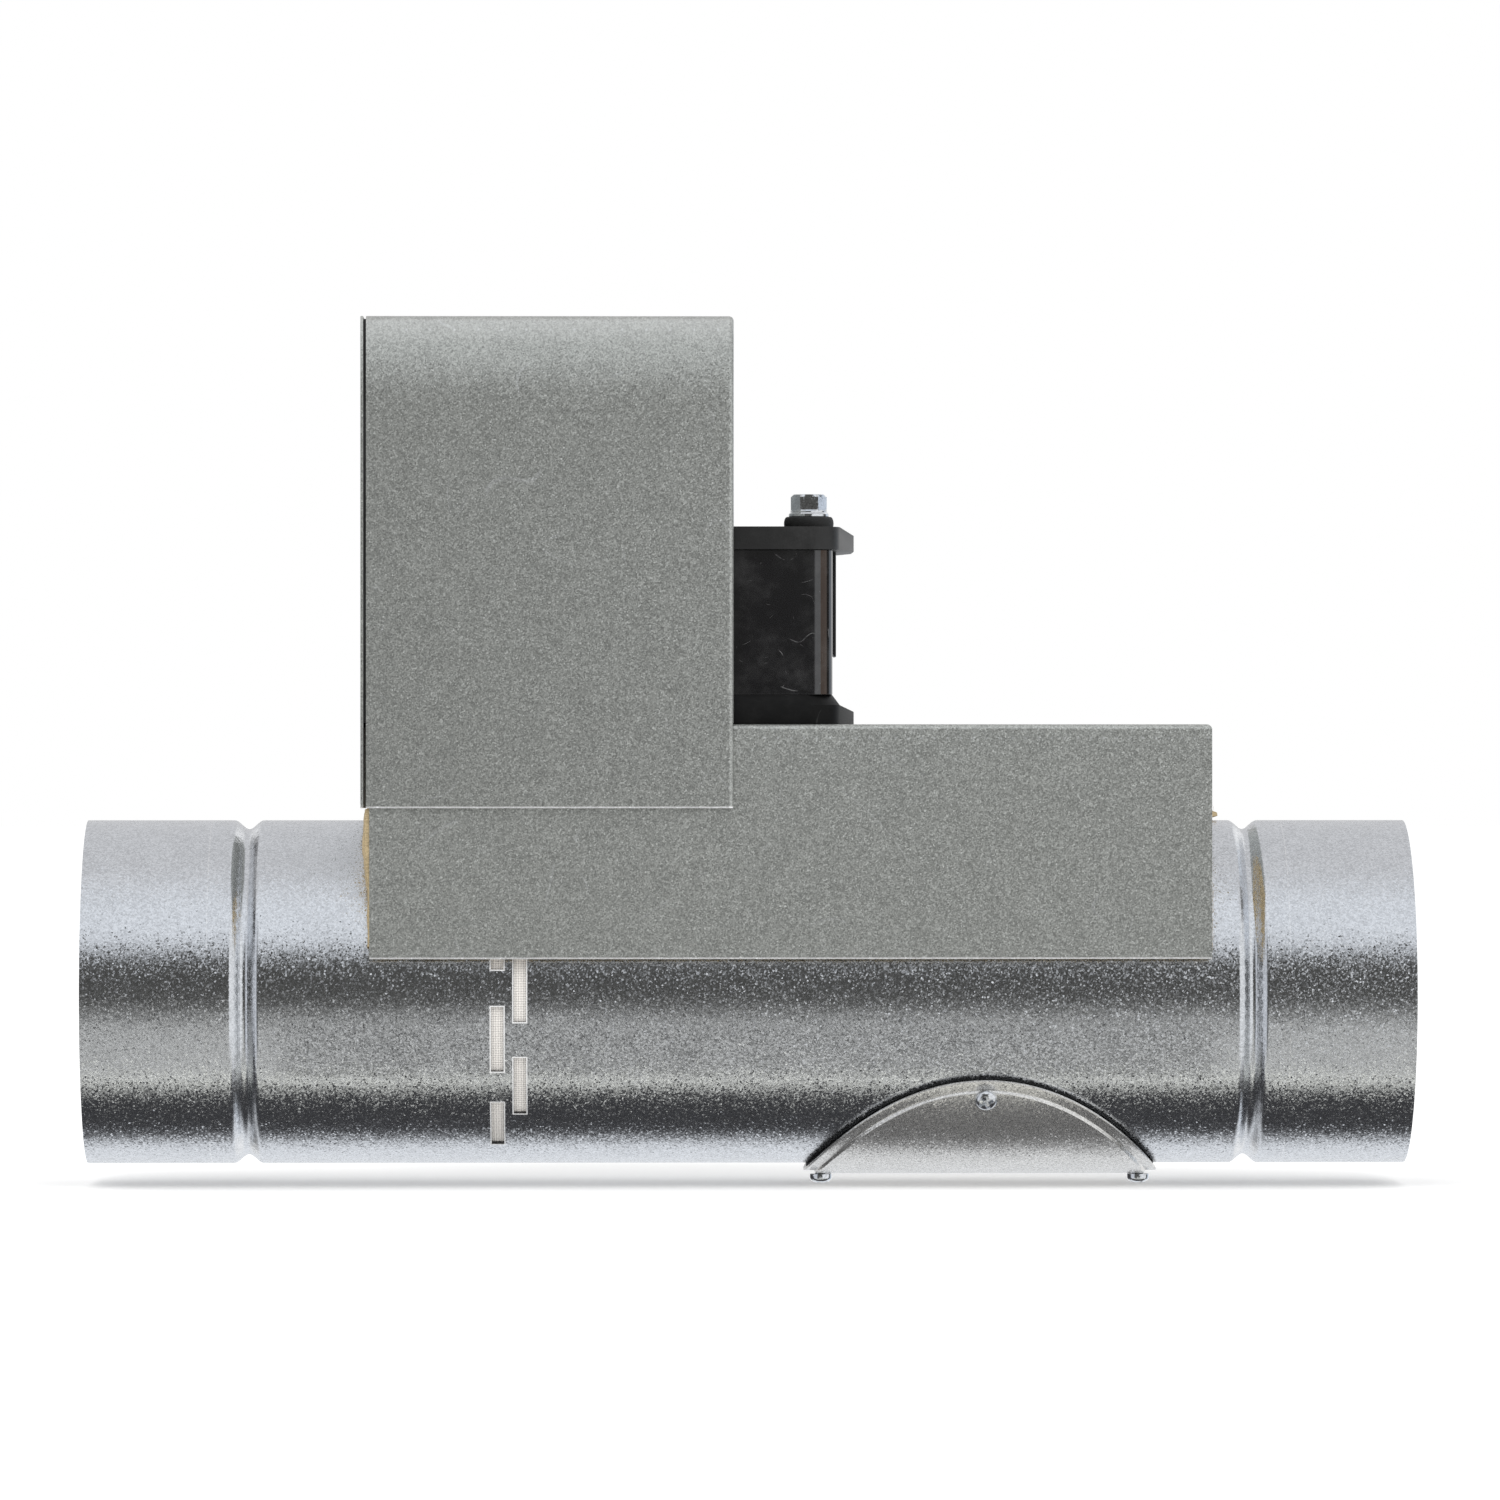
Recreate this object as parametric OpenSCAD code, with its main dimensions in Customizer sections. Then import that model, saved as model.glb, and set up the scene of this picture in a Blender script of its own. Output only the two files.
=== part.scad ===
// Round fire damper for a ventilation duct, with a drive on top.
// The duct lies along X with its left end at the origin. +Z is up and the photographed side faces -Y.

/* [Duct] */
// Outer diameter of the duct body
duct_d = 99; // [96:0.5:110]
// Length of the duct body from end to end
duct_l = 380; // [370:1:500]
// Wall of the duct body
duct_wall = 0.8; // [0.5:0.1:1.2]
// Distance from each end of the duct to the middle of its bead
bead_x = 46.5; // [30:0.5:50]
// Width of a bead
bead_w = 8.6; // [6:0.2:10]
// Depth of a bead
bead_depth = 2.5; // [1:0.1:3.5]

/* [Thermal break] */
// Distance from the left end of the duct to the axis of the blade's shaft
shaft_x = 121.7; // [118:0.1:140]
// Width of a slot, along the duct
slot_w = 3.6; // [2:0.1:5]
// Length of a slot, round the duct
slot_l = 19.3; // [10:0.1:21]
// Distance between the middles of the two rows of slots
slot_row_gap = 6.4; // [6:0.1:9]
// Slots on each side of the duct in the left row
slot_count = 4; // [2:1:4]
// Distance round the duct from its top line to the middle of the left row's first slot
slot_first = 35.1; // [30:0.1:36]
// Distance round the duct between the middles of two slots of a row
slot_pitch = 29.9; // [28:0.1:31]
// Width of the glass cloth band inside the slots
cloth_w = 28; // [22:1:34]
// Thickness of the glass cloth band
cloth_t = 0.5; // [0.3:0.1:0.8]
// Width of each intumescent strip beside the cloth band
strip_w = 8; // [5:1:12]
// Thickness of each intumescent strip
strip_t = 1.8; // [1:0.1:2]

/* [Blade] */
// Thickness of the blade board
blade_t = 18; // [16:0.5:20]
// Gap between the rim of the board and the cloth band
blade_gap = 1.9; // [1.6:0.1:3]
// Width of the seal in the rim of the board
seal_w = 3; // [2:0.5:5]
// Depth of the seal's groove
seal_depth = 3; // [2:0.5:4]
// Gap between the lip of the seal and the cloth band
seal_gap = 0.4; // [0.3:0.1:0.8]
// Width of the steel strips that spread the load of the cross screws
strap_w = 20; // [14:1:26]
// Length of those steel strips
strap_l = 74; // [60:1:78]
// Thickness of those steel strips
strap_t = 1; // [0.8:0.1:1.5]
// Distance from the duct's axis to each cross screw
cross_z = 25; // [18:1:30]
// Diameter of a cross screw
cross_d = 4; // [3:0.5:5]

/* [Shaft] */
// Diameter of the blade's shaft
shaft_d = 10; // [8:0.5:11]
// Outer diameter of the upper bush and of the lower pivot cup
bush_d = 14; // [13:0.5:15]
// Length of the bush and of the cup inside the duct
bush_nose = 6.4; // [5:0.1:7]
// Diameter of the upper bush's flange
bush_flange_d = 24; // [20:1:28]
// Height of the upper bush's flange above the top of the duct
bush_flange_t = 3.5; // [2:0.5:5]
// Height of the upper bush above its flange
bush_neck = 7; // [4:0.5:12]
// Floor of the lower pivot cup
cup_floor = 1.5; // [1:0.1:2]

/* [Inspection cover] */
// Distance from the left end of the duct to the middle of the inspection cover
insp_x = 257.5; // [240:0.5:270]
// Length of the cover's oval blank, along the duct
insp_l = 102; // [90:1:110]
// Length of the oval blank round the duct
insp_arc = 110; // [90:1:116]
// Width of the cover's rim
insp_rim = 3; // [2:0.5:4]
// Height by which the middle of the cover stands above its rim
insp_step = 0.9; // [0.4:0.1:1.5]
// Sheet of the inspection cover
insp_t = 0.8; // [0.6:0.1:1]
// Thickness of the gasket under the rim
gasket_t = 1.1; // [0.8:0.1:2]
// Distance from the edge of the blank to each of its screws
insp_screw_in = 5.1; // [4.5:0.1:7]
// Distance from the edge of the blank to the edge of the hole in the duct
insp_land = 12; // [10:0.5:15]
// Width of the gasket
gasket_w = 10; // [8:0.5:11]

/* [Low housing] */
// Sheet of the housing, the drive cover and the end plate
sheet_t = 0.8; // [0.6:0.1:1.2]
// Outer radius of a bend in the sheet
bend_r = 1.5; // [1.3:0.1:3]
// Gap between the duct and the walls of the low housing
housing_gap = 1.2; // [0.8:0.1:2]
// Height of the low housing above the top of the duct
housing_rise = 27.6; // [22:0.1:40]
// Height of the lower edge of the housing's walls above the duct's axis
housing_edge = 10.5; // [5:0.5:20]
// Distance from the shaft to the left end of the low housing
housing_left = 39.4; // [36:0.1:44]
// Length of the low housing
housing_l = 239.1; // [220:0.1:245]
// Distance from the walls of the low housing to the ends of its two end flanges
end_flange_in = 7; // [4:0.5:10]
// Height over which the wool's left end falls back behind the housing's wall
wool_slope_h = 11; // [6:0.5:14]
// Distance from the drive cover's lower edge down to the start of that slope
wool_slope_down = 14; // [10:0.5:16]
// Sheet of the two saddle brackets in the low housing
saddle_t = 1.5; // [1:0.1:2]
// Width of the saddle brackets' top flange
saddle_flange = 10; // [8:1:14]
// Distance from each end of the housing to its saddle bracket
saddle_in = 12; // [10:1:14]

/* [Drive] */
// Distance from the shaft to the left end of the drive body
drive_head = 25.7; // [22:0.1:26]
// Distance from the shaft to the right end of the drive body
drive_tail = 92.2; // [85:0.1:110]
// Width of the drive body
drive_w = 92; // [80:1:94]
// Radius of the drive body's corners
drive_r = 6; // [4:0.5:10]
// Thickness of the drive's base plate
base_t = 8.4; // [6:0.1:10]
// Thickness of the base plate's ear
base_ear_t = 5.5; // [4:0.1:6]
// Thickness of that ear at its tip
base_tip_t = 3.7; // [3:0.1:4]
// Height of the drive body between its base and its lid
body_h = 41.3; // [35:0.1:60]
// Thickness of the drive's lid
lid_t = 6.5; // [6:0.1:10]
// Thickness of the lid's ear
lid_ear_t = 4.6; // [3:0.1:5]
// Distance by which the base plate and the lid stand out of the body
drive_lip = 2.1; // [1:0.1:2.5]
// Radius of the corners of the base plate and the lid
plate_r = 9; // [7:0.5:12]
// Length of the ear at the drive's tail
ear_l = 4.7; // [3:0.1:8]
// Width of the ear where it leaves the plate
ear_root_w = 78; // [60:1:80]
// Width of the ear at its tip
ear_tip_w = 28; // [20:1:40]
// Diameter of the drive's hub
hub_d = 24; // [20:1:28]
// Height of the hub above the lid
hub_rise = 1.5; // [1.2:0.1:3]
// Thickness of the end clip that hangs from the lid
clip_t = 1.5; // [1:0.1:1.7]
// Width of the end clip
clip_w = 22; // [16:1:30]
// Length of the end clip below the lid
clip_l = 30.3; // [20:0.1:34]

/* [Hub clamp] */
// Thickness of the position pointer and of its scale
pointer_t = 1; // [0.8:0.1:1.2]
// Reach of the position pointer from the shaft's axis
pointer_r = 23; // [20:0.5:25]
// Width of the clamp block
clamp_w = 26; // [24:1:30]
// Depth of the clamp block
clamp_depth = 9; // [7:0.5:12]
// Height of the clamp block
clamp_h = 12; // [10:0.5:14]
// Diameter of the U bolt's rod
u_rod_d = 5; // [4:0.5:5]
// Length of the U bolt's ends past the clamp block
u_tail = 6; // [5:0.5:8]
// Height of a nut on the U bolt
nut_h = 4; // [3:0.5:4.5]
// Width across the flats of a nut on the U bolt
nut_af = 8; // [7:0.5:9]
// Height of the shaft above the clamp block
shaft_proud = 4; // [2:0.5:10]

/* [Drive screw] */
// Distance from the right end of the drive body to the long drive screw
bolt_in = 5.8; // [5:0.1:12]
// Diameter of the long drive screw
bolt_d = 5.8; // [5:0.1:6.3]
// Width across the flats of its head
bolt_af = 9; // [8:0.1:10]
// Height of its head
bolt_head_h = 4.9; // [4:0.1:6]
// Diameter of its collar
bolt_collar_d = 11.6; // [11:0.1:14]
// Thickness of its collar
bolt_collar_t = 1.6; // [1:0.1:2]
// Diameter of the rubber washer under it
washer_d = 14.4; // [12:0.1:16]
// Thickness of the rubber washer
washer_t = 3.9; // [1.5:0.1:4.5]
// Length of its tip below the low housing's sheet
bolt_tip = 8; // [5:0.5:12]

/* [Drive cover] */
// Distance from the left end of the low housing to the left edge of the drive cover
cover_lead = 0.9; // [0.5:0.1:1.2]
// Distance from the cover's right wall to the axis of the long drive screw
cover_to_screw = 22.5; // [18:0.1:25]
// Height of the drive cover above the top of the low housing
cover_rise = 115.7; // [105:0.1:130]
// Distance by which the cover's walls reach down over the low housing
cover_lap = 23.8; // [15:0.1:30]
// Width of the cover's inner flange behind the end plate
cover_flange = 9; // [8:0.5:12]
// Gap between the drive and the opening in the cover's right wall
drive_port_gap = 1; // [0.5:0.1:2]
// Thickness of the cover's gasket
cover_gasket_t = 0.8; // [0.5:0.1:0.9]
// Distance from the top of the cover, and from the low housing, to the screws in the back flange
cover_screw_in = 16; // [12:1:24]
// Length of the end plate's back flange, inside the cover's back wall
plate_flange_l = 12; // [10:0.5:12.5]
// Distance from the screws in the lap to the ends of the cover
lap_screw_in = 21; // [18:0.5:24]

/* [Terminal block and cable entry] */
// Number of poles
pole_count = 6; // [2:1:6]
// Width of one pole
pole_w = 8; // [6:0.5:8]
// Height of the terminal block
block_h = 16; // [12:1:18]
// Depth of the terminal block
block_depth = 17; // [12:1:20]
// Height of the terminal block's underside above the drive's lid
block_rise = 4; // [2:0.5:6]
// Diameter of a terminal screw
pole_screw_d = 4; // [3:0.5:4]
// Diameter of a grommet
grommet_d = 20; // [16:1:22]
// Diameter of the hole for a grommet
grommet_hole_d = 16; // [12:1:16]
// Distance between the two grommets in the cover's back wall
grommet_span = 32; // [26:1:36]
// Distance from the top of the cover down to the grommets
grommet_in = 24; // [22:0.5:26]
// Length by which a grommet stands out on each side
grommet_out = 3; // [1.5:0.1:4]

/* [Small screws] */
// Radius of a pan head
screw_head_r = 3.2; // [2.8:0.1:3.5]
// Height of a pan head
screw_head_h = 2.6; // [2:0.1:3]
// Diameter of the shank
screw_d = 3.5; // [3:0.1:3.9]
// Length of the shank
screw_l = 9.5; // [8:0.5:10]
// Share of the head's height that is domed
dome_share = 0.55; // [0.3:0.05:0.7]
// Width of the cross recess as a share of the head's radius
cross_share = 0.28; // [0.2:0.02:0.35]

/* [Fits] */
// Clearance between pieces that seat on each other
seat_gap = 0.3; // [0.2:0.05:0.4]
// Clearance all round a shaft in its bearing
run_gap = 0.05; // [0.02:0.01:0.1]
// Clearance all round a screw in its hole
hole_gap = 0.2; // [0.1:0.05:0.3]

/* [Hidden] */
$fn = 48;

// Overrun of every cut
over = 1;

// Duct
duct_r = duct_d / 2;
bore_r = duct_r - duct_wall;
cloth_r = bore_r - seat_gap;
cloth_in_r = cloth_r - cloth_t;
slot_first_deg = slot_first / duct_r * 180 / PI;
slot_pitch_deg = slot_pitch / duct_r * 180 / PI;
slot_deg = slot_l / duct_r * 180 / PI;

// Shaft and blade
shaft_r = shaft_d / 2;
bearing_r = shaft_r + run_gap;
bush_r = bush_d / 2;
bush_hole_r = bush_r + hole_gap;
nose_z = cloth_r - bush_nose;
blade_r = cloth_in_r - blade_gap;
notch_r = bush_r + seat_gap;
cross_r = cross_d / 2;
cup_bore_z = -(cloth_r - cup_floor);
cross_head_r = cross_r * 1.75;
cross_head_h = cross_r * 1.2;
cross_nut_h = cross_r * 1.6;
blade_face = blade_t / 2;
strap_face = blade_face + strap_t;

// Inspection cover
insp_a = insp_l / 2;
insp_b = insp_arc / 2;
gasket_r = duct_r + seat_gap;
rim_r = gasket_r + gasket_t;
field_r = rim_r + insp_step;
field_out_r = field_r + insp_t;
screw_r = screw_d / 2;

// Low housing
housing_x0 = shaft_x - housing_left;
housing_x1 = housing_x0 + housing_l;
housing_half = duct_r + housing_gap + sheet_t;
housing_in_half = housing_half - sheet_t;
housing_top = duct_r + housing_rise;
housing_in_top = housing_top - sheet_t;
saddle_x = [housing_x0 + saddle_in, housing_x1 - saddle_in - saddle_flange];

// Drive
drive_x0 = shaft_x - drive_head;
drive_x1 = shaft_x + drive_tail;
drive_half = drive_w / 2;
base_top = housing_top + base_t;
body_top = base_top + body_h;
lid_top = body_top + lid_t;
hub_r = hub_d / 2;
hub_top = lid_top + hub_rise;
hub_bore_r = hub_r + run_gap;
bolt_x = drive_x1 - bolt_in;
bolt_r = bolt_d / 2;
bolt_hole_r = bolt_r + hole_gap;
pointer_top = hub_top + pointer_t;
clamp_top = pointer_top + clamp_h;
u_rod_r = u_rod_d / 2;
u_ring_r = shaft_r + seat_gap + u_rod_r;
u_z = pointer_top + clamp_h / 2;
clamp_back = -(shaft_r + seat_gap);
clamp_front = clamp_back - clamp_depth;
shaft_top = clamp_top + shaft_proud;

// Drive cover
cover_x0 = housing_x0 - cover_lead;
cover_x1 = bolt_x - cover_to_screw;
cover_in_half = housing_half + seat_gap;
cover_half = cover_in_half + sheet_t;
cover_z0 = housing_top - cover_lap;
cover_top = housing_top + cover_rise;
flange_top = cover_top - cover_flange;
cover_screw_z = [housing_top + cover_screw_in, cover_top - cover_screw_in];
port_half = drive_half + drive_lip + drive_port_gap;
port_top = lid_top + hub_rise + drive_port_gap;
plate_in_x = cover_x0 - cover_gasket_t;
plate_x = plate_in_x - sheet_t;
wool_x0 = plate_in_x + seat_gap;
wool_x1 = housing_x1;
wool_slope_z = cover_z0 - wool_slope_down;
flange_screw_x = plate_in_x + plate_flange_l / 2;
grommet_x = (cover_x0 + cover_x1) / 2;
grommet_z = cover_top - grommet_in;
block_z = lid_top + block_rise;

// Places a child that lies along +Z on the duct's axis, running along +X from x
module along_x(x) {
    translate([x, 0, 0]) rotate([0, 90, 0]) children();
}

// Straight round bar along +Z between two heights
module bar(r, z0, z1) {
    translate([0, 0, z0]) cylinder(r = r, h = z1 - z0);
}

// Rectangle with round corners: the true arcs are circles
module round_rect(x0, x1, half, r) {
    translate([x0 + r, -half]) square([x1 - x0 - 2 * r, 2 * half]);
    translate([x0, -half + r]) square([x1 - x0, 2 * half - 2 * r]);
    for (x = [x0 + r, x1 - r], y = [-half + r, half - r])
        translate([x, y]) circle(r = r);
}

// Outline that is square below and has two round corners above
module arch_rect(half, z0, z1, r) {
    translate([-half, z0]) square([2 * half, z1 - z0 - r]);
    translate([-half + r, z0]) square([2 * half - 2 * r, z1 - z0]);
    for (y = [-half + r, half - r])
        translate([y, z1 - r]) circle(r = r);
}

// Rectangle from its outer corner inwards and down, with that corner rounded
module corner_rect(l, h, r) {
    translate([r, -h]) square([l - r, h]);
    translate([0, -h]) square([l, h - r]);
    translate([r, -r]) circle(r = r);
}

// Sheet that runs inwards from its outer corner and is folded down there
module folded_sheet(l, h) {
    difference() {
        corner_rect(l, h, bend_r);
        translate([sheet_t, -sheet_t]) corner_rect(l, h, bend_r - sheet_t);
    }
}

// Pan head screw with a cross recess: the underside of the head is at the origin, the shank goes down
module pan_screw(head_r, head_h, r, l) {
    dome_h = head_h * dome_share;
    dome_r = (head_r * head_r + dome_h * dome_h) / (2 * dome_h);
    cross_w = head_r * cross_share;
    difference() {
        intersection() {
            cylinder(r = head_r, h = head_h);
            translate([0, 0, head_h - dome_r]) sphere(r = dome_r);
        }
        for (turn = [0, 90])
            rotate(turn) translate([-head_r / 2, -cross_w / 2, head_h * (1 - dome_share)])
                cube([head_r, cross_w, head_h]);
    }
    translate([0, 0, -l]) cylinder(r = r, h = l);
}

// Half profile of the duct: a plain wall whose two beads follow a raised cosine
bead_steps = 16;
function bead_in(x, mid) = abs(x - mid) < bead_w / 2
    ? bead_depth * (1 + cos(360 * (x - mid) / bead_w)) / 2
    : 0;
bead_offsets = [for (i = [0:bead_steps]) bead_w * (i / bead_steps - 1 / 2)];
wall_x = concat([0], [for (o = bead_offsets) bead_x + o],
    [for (o = bead_offsets) duct_l - bead_x + o], [duct_l]);
function wall_line(r) = [for (x = wall_x) [r - bead_in(x, bead_x) - bead_in(x, duct_l - bead_x), x]];
function reversed(line) = [for (i = [len(line) - 1:-1:0]) line[i]];

// Oval outline that is bent round the duct, seen from below: its length round the duct shrinks with the bend
oval_steps = 48;
function oval(a, b, r) = [for (i = [0:oval_steps - 1])
    let (t = 360 * i / oval_steps)
    [a * cos(t), r * sin(b * sin(t) / r * 180 / PI)]];

// One ring of points on the bent oval: inset from its edge by a distance, at a distance r from the duct's axis
function bent_ring(inset, r) = [for (i = [0:oval_steps - 1])
    let (t = 360 * i / oval_steps, a = (insp_a - inset) * cos(t),
        turn = (insp_b - inset) * sin(t) / rim_r * 180 / PI)
    [insp_x + a, r * sin(turn), -r * cos(turn)]];

// Four-sided faces between ring k and ring m of such points
function ring_faces(k, m) = [for (i = [0:oval_steps - 1])
    let (j = (i + 1) % oval_steps)
    [k * oval_steps + i, k * oval_steps + j, m * oval_steps + j, m * oval_steps + i]];

// Places a child at each inspection screw, with its up side away from the duct
module at_inspection_screws(r) {
    for (side = [-1, 1])
        translate([insp_x + side * (insp_a - insp_screw_in), 0, -r]) rotate([180, 0, 0]) children();
    for (side = [-1, 1])
        translate([insp_x, 0, 0])
            rotate([side * (insp_b - insp_screw_in) / rim_r * 180 / PI, 0, 0])
                translate([0, 0, -r]) rotate([180, 0, 0]) children();
}

// One slot through the duct's wall, at an angle from the top line
module slot(x, turn) {
    along_x(x - slot_w / 2)
        rotate(180 - turn - slot_deg / 2)
            rotate_extrude(angle = slot_deg)
                translate([bore_r - over, 0]) square([duct_wall + 2 * over, slot_w]);
}

module duct_body() {
    color("silver") difference() {
        along_x(0) rotate_extrude(convexity = 6)
            polygon(concat(wall_line(duct_r), reversed(wall_line(bore_r))));
        for (side = [-1, 1]) {
            for (i = [0:slot_count - 1])
                slot(shaft_x - slot_row_gap / 2, side * (slot_first_deg + i * slot_pitch_deg));
            for (i = [0:slot_count - 2])
                slot(shaft_x + slot_row_gap / 2, side * (slot_first_deg + (i + 1 / 2) * slot_pitch_deg));
        }
        translate([shaft_x, 0, 0]) bar(bush_hole_r, 0, duct_r + over);
        translate([insp_x, 0, -duct_r - over]) linear_extrude(duct_r)
            polygon(oval(insp_a - insp_land, insp_b - insp_land, duct_r));
        at_inspection_screws(duct_r) translate([0, 0, -duct_wall - over])
            cylinder(r = screw_r + run_gap, h = duct_wall + 2 * over);
    }
}

module glass_cloth() {
    color("linen") difference() {
        along_x(shaft_x - cloth_w / 2) cylinder(r = cloth_r, h = cloth_w);
        along_x(shaft_x - cloth_w / 2 - over) cylinder(r = cloth_in_r, h = cloth_w + 2 * over);
        translate([shaft_x, 0, 0]) bar(bush_hole_r, -duct_r, duct_r);
    }
}

module intumescent_strips() {
    color("dimgray")
        for (x = [shaft_x - cloth_w / 2 - seat_gap - strip_w, shaft_x + cloth_w / 2 + seat_gap])
            difference() {
                along_x(x) cylinder(r = cloth_r, h = strip_w);
                along_x(x - over) cylinder(r = cloth_r - strip_t, h = strip_w + 2 * over);
            }
}

module upper_bush() {
    color("darkgoldenrod") translate([shaft_x, 0, 0]) difference() {
        union() {
            bar(bush_r, nose_z, duct_r + bush_flange_t + bush_neck);
            difference() {
                bar(bush_flange_d / 2, 0, duct_r + bush_flange_t);
                rotate([0, 90, 0]) translate([0, 0, -bush_flange_d])
                    cylinder(r = duct_r + seat_gap, h = 2 * bush_flange_d);
            }
        }
        bar(bearing_r, 0, housing_top);
    }
}

module pivot_cup() {
    color("darkgoldenrod") translate([shaft_x, 0, 0]) difference() {
        intersection() {
            bar(bush_r, -duct_r, -nose_z);
            rotate([0, 90, 0]) translate([0, 0, -bush_d]) cylinder(r = cloth_r, h = 2 * bush_d);
        }
        bar(bearing_r, cup_bore_z, 0);
    }
}

module inspection_gasket() {
    rings = [bent_ring(insp_rim / 4, gasket_r), bent_ring(insp_rim / 4, rim_r),
        bent_ring(gasket_w, rim_r), bent_ring(gasket_w, gasket_r)];
    color("black") difference() {
        polyhedron(points = [for (ring = rings) each ring],
            faces = [for (k = [0:3]) each ring_faces(k, (k + 1) % 4)], convexity = 6);
        at_inspection_screws(duct_r) cylinder(r = screw_r + hole_gap, h = field_out_r - duct_r);
    }
}

// Insets of the rings that make the bent cover, from its edge to near its middle
field_shares = [0.12, 0.25, 0.4, 0.55, 0.7, 0.85, 0.97];
module inspection_cover() {
    step = insp_rim + insp_step;
    insets = concat([0, insp_rim, step], [for (s = field_shares) step + s * (insp_a - step)]);
    function skin(t) = [for (i = [0:len(insets) - 1]) bent_ring(insets[i], (i < 2 ? rim_r : field_r) + t)];
    outer = skin(insp_t);
    inner = skin(0);
    n = len(insets);
    rings = concat(reversed(outer), inner);
    color("gainsboro") difference() {
        polyhedron(points = [for (ring = rings) each ring],
            faces = concat(
                [for (k = [0:2 * n - 2]) each ring_faces(k, k + 1)],
                [[for (i = [oval_steps - 1:-1:0]) i]],
                [[for (i = [0:oval_steps - 1]) (2 * n - 1) * oval_steps + i]]),
            convexity = 6);
        at_inspection_screws(duct_r) cylinder(r = screw_r + hole_gap, h = field_out_r);
    }
}

module inspection_screws() {
    color("lightgray") at_inspection_screws(field_out_r + seat_gap / 2)
        pan_screw(screw_head_r, screw_head_h, screw_r, screw_l);
}

// Places a side view, drawn in X and Z, as a body between y = -half and y = half
module across_y(half) {
    translate([0, half, 0]) rotate([90, 0, 0]) linear_extrude(2 * half) children();
}

module low_housing() {
    flange_half = housing_half - end_flange_in;
    color("darkgray") difference() {
        union() {
            intersection() {
                translate([housing_x0, 0, 0]) rotate([90, 0, 90]) linear_extrude(housing_l) difference() {
                    arch_rect(housing_half, housing_edge, housing_top, bend_r);
                    arch_rect(housing_in_half, housing_edge - over, housing_in_top, bend_r - sheet_t);
                }
                across_y(housing_half) translate([housing_x1, housing_top]) mirror([1, 0])
                    corner_rect(housing_l + over, housing_top - housing_edge + over, bend_r);
            }
            across_y(flange_half) {
                translate([plate_in_x, housing_top])
                    folded_sheet(housing_x0 - plate_in_x + bend_r, cover_lap);
                translate([housing_x1, housing_top]) mirror([1, 0]) folded_sheet(2 * bend_r, cover_lap);
            }
        }
        translate([shaft_x, 0, 0]) bar(bush_r, housing_in_top - over, housing_top + over);
        translate([bolt_x, 0, 0]) bar(bolt_r + run_gap, housing_in_top - over, housing_top + over);
        at_lap_screws(housing_half) cylinder(r = screw_r + run_gap, h = 4 * over, center = true);
    }
}

// Space that one saddle bracket takes, grown by a gap all round
module saddle_block(x, gap) {
    z0 = housing_edge + bend_r - gap;
    translate([x - gap, -housing_in_half + seat_gap - gap, z0])
        cube([saddle_t + 2 * gap, 2 * (housing_in_half - seat_gap + gap), housing_in_top - z0]);
    translate([x - gap, -housing_in_half * 3 / 4, housing_in_top - saddle_t - gap])
        cube([saddle_flange + 2 * gap, housing_in_half * 3 / 2, saddle_t + gap]);
}

module saddle_brackets() {
    color("lightsteelblue") difference() {
        for (x = saddle_x)
            intersection() {
                saddle_block(x, 0);
                translate([x - over, 0, 0]) rotate([90, 0, 90]) linear_extrude(saddle_flange + 2 * over)
                    arch_rect(housing_in_half - seat_gap, 0, housing_in_top, bend_r);
            }
        along_x(housing_x0) cylinder(r = duct_r + seat_gap, h = housing_l);
    }
}

module mineral_wool() {
    color("burlywood") difference() {
        translate([wool_x0, 0, 0]) rotate([90, 0, 90]) linear_extrude(wool_x1 - wool_x0)
            arch_rect(housing_in_half - seat_gap, housing_edge + bend_r, housing_in_top - seat_gap, bend_r);
        along_x(wool_x0 - over) cylinder(r = duct_r + seat_gap, h = wool_x1 - wool_x0 + 2 * over);
        for (x = saddle_x)
            saddle_block(x, seat_gap);
        translate([shaft_x, 0, 0]) bar(bush_flange_d / 2 + seat_gap, 0, housing_top);
        translate([bolt_x, 0, 0]) bar(bolt_r + seat_gap, housing_top - bolt_tip - sheet_t - over, housing_top);
        translate([wool_x0 - over, -housing_half, cover_z0 - seat_gap])
            cube([plate_in_x + sheet_t + seat_gap - wool_x0 + over, 2 * housing_half, housing_top]);
        translate([housing_x1 - sheet_t - seat_gap, -housing_half, cover_z0 - seat_gap])
            cube([sheet_t + seat_gap + over, 2 * housing_half, housing_top]);
        at_lap_screws(housing_half) cylinder(r = screw_r + seat_gap, h = 2 * screw_l + over, center = true);
        across_y(housing_half) wool_slope();
    }
}

// What the wool's left end lacks below its slope, seen from the front
module wool_slope() {
    polygon([
        [wool_x0 - over, 0],
        [wool_x0 - over, wool_slope_z],
        [wool_x0, wool_slope_z],
        [housing_x0, wool_slope_z - wool_slope_h],
        [housing_x0, 0],
    ]);
}

// Plan of the drive's base plate and lid, with the ear at the tail
module drive_plan(lip, ear) {
    round_rect(drive_x0 - lip, drive_x1 + lip, drive_half + lip, plate_r);
    if (ear)
        polygon([[drive_x1, -ear_root_w / 2], [drive_x1 + lip, -ear_root_w / 2],
            [drive_x1 + lip + ear_l, -ear_tip_w / 2], [drive_x1 + lip + ear_l, ear_tip_w / 2],
            [drive_x1 + lip, ear_root_w / 2], [drive_x1, ear_root_w / 2]]);
}

// Holes in the drive for its hub and its long screw
module drive_holes() {
    translate([shaft_x, 0, 0]) bar(hub_bore_r, housing_top - over, lid_top + over);
    translate([bolt_x, 0, 0]) bar(bolt_hole_r, housing_top - over, lid_top + over);
}

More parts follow.
